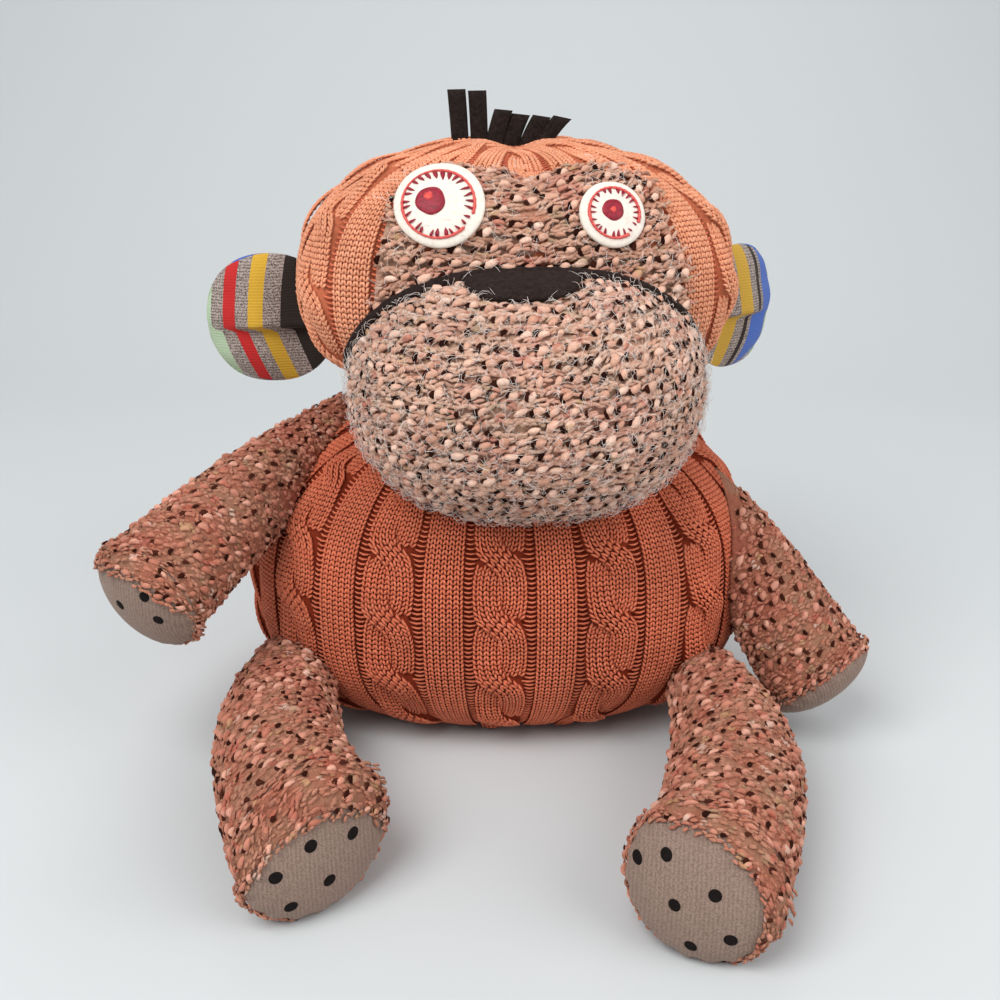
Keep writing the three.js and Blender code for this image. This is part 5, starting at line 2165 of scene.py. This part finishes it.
@dataclass
class Ear:
    """A thin stuffed ear of jersey, pleated where it is sewn to the head."""

    side: Side
    sweep: float
    finish: Jersey
    half: float = 27.0
    thick: float = 6.5
    reach: float = 43.0
    pleat: float = 2.6
    pleat_z: float = -3.5

    @property
    def place(self) -> Place:
        """The ear's own axes: out from the head along X, with its seam at the origin."""
        turn = self.sweep if self.side is Side.LEFT else 180 - self.sweep
        return Place.turned((self.side.value * EAR_SEAM[0], *EAR_SEAM[1:]), turn, HEAD_PLACE)

    def sheet(self, share: Array, turn: Array, facing: float, inner: bool) -> tuple[Array, Array]:
        """Points of one face of the ear.

        Args:
            share: 1 at the rim, 0 at the middle.
            turn: Angle round the rim.
            facing: Sign of the ear's own Y that this face points to.
            inner: Whether these are the points where the two faces meet.
        Returns:
            Points in the ear's own axes, and the measure that the bands follow.
        """
        power = 2.2
        rim = (np.abs(np.cos(turn)) ** power + np.abs(np.sin(turn)) ** power) ** (-1 / power)
        x, z = share * rim * np.cos(turn) * self.half, share * rim * np.sin(turn) * self.half
        y = self.thick * np.sqrt(np.maximum(0, 1 - share**power))
        x = x + self.reach - self.half
        y = 0.1 + (0.0 if inner else 1.0) * y * (0.3 + 0.7 * smoothstep(x, 0, self.reach / 2))
        # The upper lobe laps over the lower one, most of all near the seam, and its stripes run past theirs.
        over = z - self.pleat_z
        lap = np.where(over > 0, np.exp(-over / 10), -np.exp(over / 8)) * np.tanh(np.abs(over) / 0.8)
        lap = self.pleat * lap * (1 - smoothstep(x, 18, 38))
        bow = -2.5 * (x / self.reach) ** 2 * (z / self.half) ** 2
        ripple = 0.5 * np.sin(z * 0.35 + 1.0) * smoothstep(x, 10, 40)
        y = facing * (y if inner else np.maximum(y + lap, 0.3)) + facing * (bow + ripple)
        under, above = np.maximum(-over, 0), np.maximum(over, 0)
        band = x + 4.4 * smoothstep(under, 0.0, 1.5) + 0.38 * under * (1 - 0.5 * smoothstep(x, 25, 42))
        band = band + 2.4 * (above / self.half) ** 2
        return np.stack([x, y, z], -1), band

    def build(self) -> None:
        """Builds and dresses the two faces."""
        turn = np.linspace(0, TURN, 112, endpoint=False)
        front = -1.0 if self.side is Side.LEFT else 1.0
        name = f"{self.side.word}_ear"
        rows = [(share, True) for share in (0.2, 0.5, 0.8, 0.95)]
        rows += [(share, False) for share in np.sin(np.linspace(pi / 2, 0.04, 26))]
        for word, facing, finish in (("front", front, self.finish), ("back", -front, EAR_BACK_JERSEY)):
            made = [self.sheet(np.full_like(turn, share), turn, facing, inner) for share, inner in rows]
            bands = [band for _, band in made]
            bands += [band.mean(keepdims=True) for band in (bands[0], bands[-1])]
            points, faces = closed_tube([ring for ring, _ in made])
            measures = {"band_mm": np.concatenate(bands), "wale_mm": points[:, 2].copy()}
            world = HEAD.pushed_out(self.place.world(points), 0.8)
            cloth = new_piece(f"{name}_{word}_jersey", (world, faces), finish, measures)
            nodes = (f"{name}_front", f"{name}_wadding") if word == "front" else (f"{name}_back",)
            dress(cloth, name, nodes)


# Camera, light and floor


def set_stage() -> None:
    """Sets the camera at the photograph's view, with soft light over a pale floor."""
    scene = bpy.context.scene
    camera = bpy.data.objects.new("camera", bpy.data.cameras.new("camera"))
    scene.collection.objects.link(camera)
    elevation, distance, aim = radians(20), 0.540, np.array((0.0, 0.0, 0.1))
    camera.data.angle = radians(45)
    camera.location = (0.0, -distance * cos(elevation), 0.085 + distance * sin(elevation))
    camera.rotation_euler = (pi / 2 - elevation, 0.0, 0.0)
    scene.camera = camera
    scene.view_settings.view_transform = "Standard"

    for name, place, power in (
        ("key_softbox", (-0.55, -0.75, 1.15), 15.0),
        ("fill_softbox", (0.8, -0.6, 0.7), 5.5),
        ("back_softbox", (0.1, 0.9, 1.0), 4.0),
    ):
        lamp = bpy.data.lights.new(name, "AREA")
        lamp.size, lamp.energy = 0.9, power
        holder = bpy.data.objects.new(name, lamp)
        holder.location = place
        x, y, z = np.array(place) - aim
        holder.rotation_euler = (atan2(hypot(x, y), z), 0.0, atan2(x, -y))
        scene.collection.objects.link(holder)

    world = bpy.data.worlds.new("studio")
    world.use_nodes = True
    sky = world.node_tree.nodes["Background"].inputs
    sky["Color"].default_value = linear("#F4F4F6")
    sky["Strength"].default_value = 0.55
    scene.world = world

    # A sheet of matt paper that runs flat under the toy and curves up behind it.
    bend, wide = 0.6, 3.0
    turns = np.linspace(0.1, pi / 2, 14)
    profile = [(-2.0, 0.0), (0.5, 0.0)]
    profile += [(0.5 + bend * sin(a), bend - bend * cos(a)) for a in turns]
    profile.append((1.1, 2.4))
    points = [(x, y, z) for y, z in profile for x in (-wide, wide)]
    mesh = bpy.data.meshes.new("paper_sweep")
    mesh.from_pydata(points, [], [face[::-1] for face in grid_faces(len(profile), 2, wrap=False)])
    mesh.polygons.foreach_set("use_smooth", [True] * len(mesh.polygons))
    paper = bpy.data.materials.new("matt_background_paper")
    paper.use_nodes = True
    look = paper.node_tree.nodes["Principled BSDF"].inputs
    look["Base Color"].default_value = linear("#CBCFD0")
    look["Roughness"].default_value = 0.9
    look["Specular IOR Level"].default_value = 0.1
    mesh.materials.append(paper)
    sweep = bpy.data.objects.new("paper_sweep", mesh)
    scene.collection.objects.link(sweep)
    sweep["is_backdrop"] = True


def write_sizes() -> None:
    """Gathers the box of the solids and the box of the dressed model."""
    boxes = {"cad": CAD_BOX, "visual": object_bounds()}
    {key: [list(corner) for corner in box] for key, box in boxes.items()}


# Printed spots on each pad, as shares of its radius outwards and across.
ARM_SPOTS = {
    Side.RIGHT: ((0.18, 0.09), (-0.36, 0.5), (-0.56, 0.1)),
    Side.LEFT: ((-0.12, 0.69), (0.39, 0.0)),
}
LEG_SPOTS = {
    Side.RIGHT: ((0.18, 0.21), (-0.38, 0.12), (0.61, -0.06), (-0.04, -0.36), (0.43, -0.56)),
    Side.LEFT: ((-0.38, -0.47), (-0.78, -0.27), (0.26, -0.15), (-0.22, 0.09), (-0.03, 0.63), (0.45, 0.42)),
}
# The tweed laps over each pad outside a circle: its middle and its reach, as shares of the radius.
ARM_CUFFS = {Side.RIGHT: (0.0, -0.35, 1.03), Side.LEFT: (0.0, 0.0, 1.1)}
LEG_CUFFS = {Side.RIGHT: (0.0, -0.5, 0.93), Side.LEFT: (-0.15, 0.13, 0.91)}
RIGHT_EYE = Eye(
    Side.RIGHT, x=-33, z=41, radius=16.5, ring_at=(-0.03, 0.0), ring_share=0.79, ring_fat=0.036,
    pupil_at=(-0.2, 0.06), glint_at=(-0.24, 0.17), gap_degrees=(-45, -23), rays=27,
)
LEFT_EYE = Eye(
    Side.LEFT, x=30, z=36, radius=12.5, ring_at=(0.04, 0.03), ring_share=0.76, ring_fat=0.052,
    pupil_at=(0.0, 0.1), glint_at=(0.0, 0.1), gap_degrees=(-55, -24), rays=22,
)


def main() -> None:
    """Builds the monkey piece by piece."""
    logging.basicConfig(level=logging.INFO, format="%(name)s: %(message)s")
    set_stage()
    shop = Workshop()
    Torso(shop).build()
    Face(shop).build()
    RIGHT_EYE.build()
    LEFT_EYE.build()
    Ear(Side.RIGHT, 4, RIGHT_EAR_JERSEY).build()
    Ear(Side.LEFT, 40, LEFT_EAR_JERSEY).build()
    for side in Side:
        StuffedLimb(shop, ARMS[side], "arm", "palm", ARM_SPOTS[side], ARM_CUFFS[side]).build()
    for side in Side:
        StuffedLimb(shop, LEGS[side], "leg", "sole", LEG_SPOTS[side], LEG_CUFFS[side]).build()
    shop.put_away()
    write_sizes()


if __name__ == "__main__":
    main()
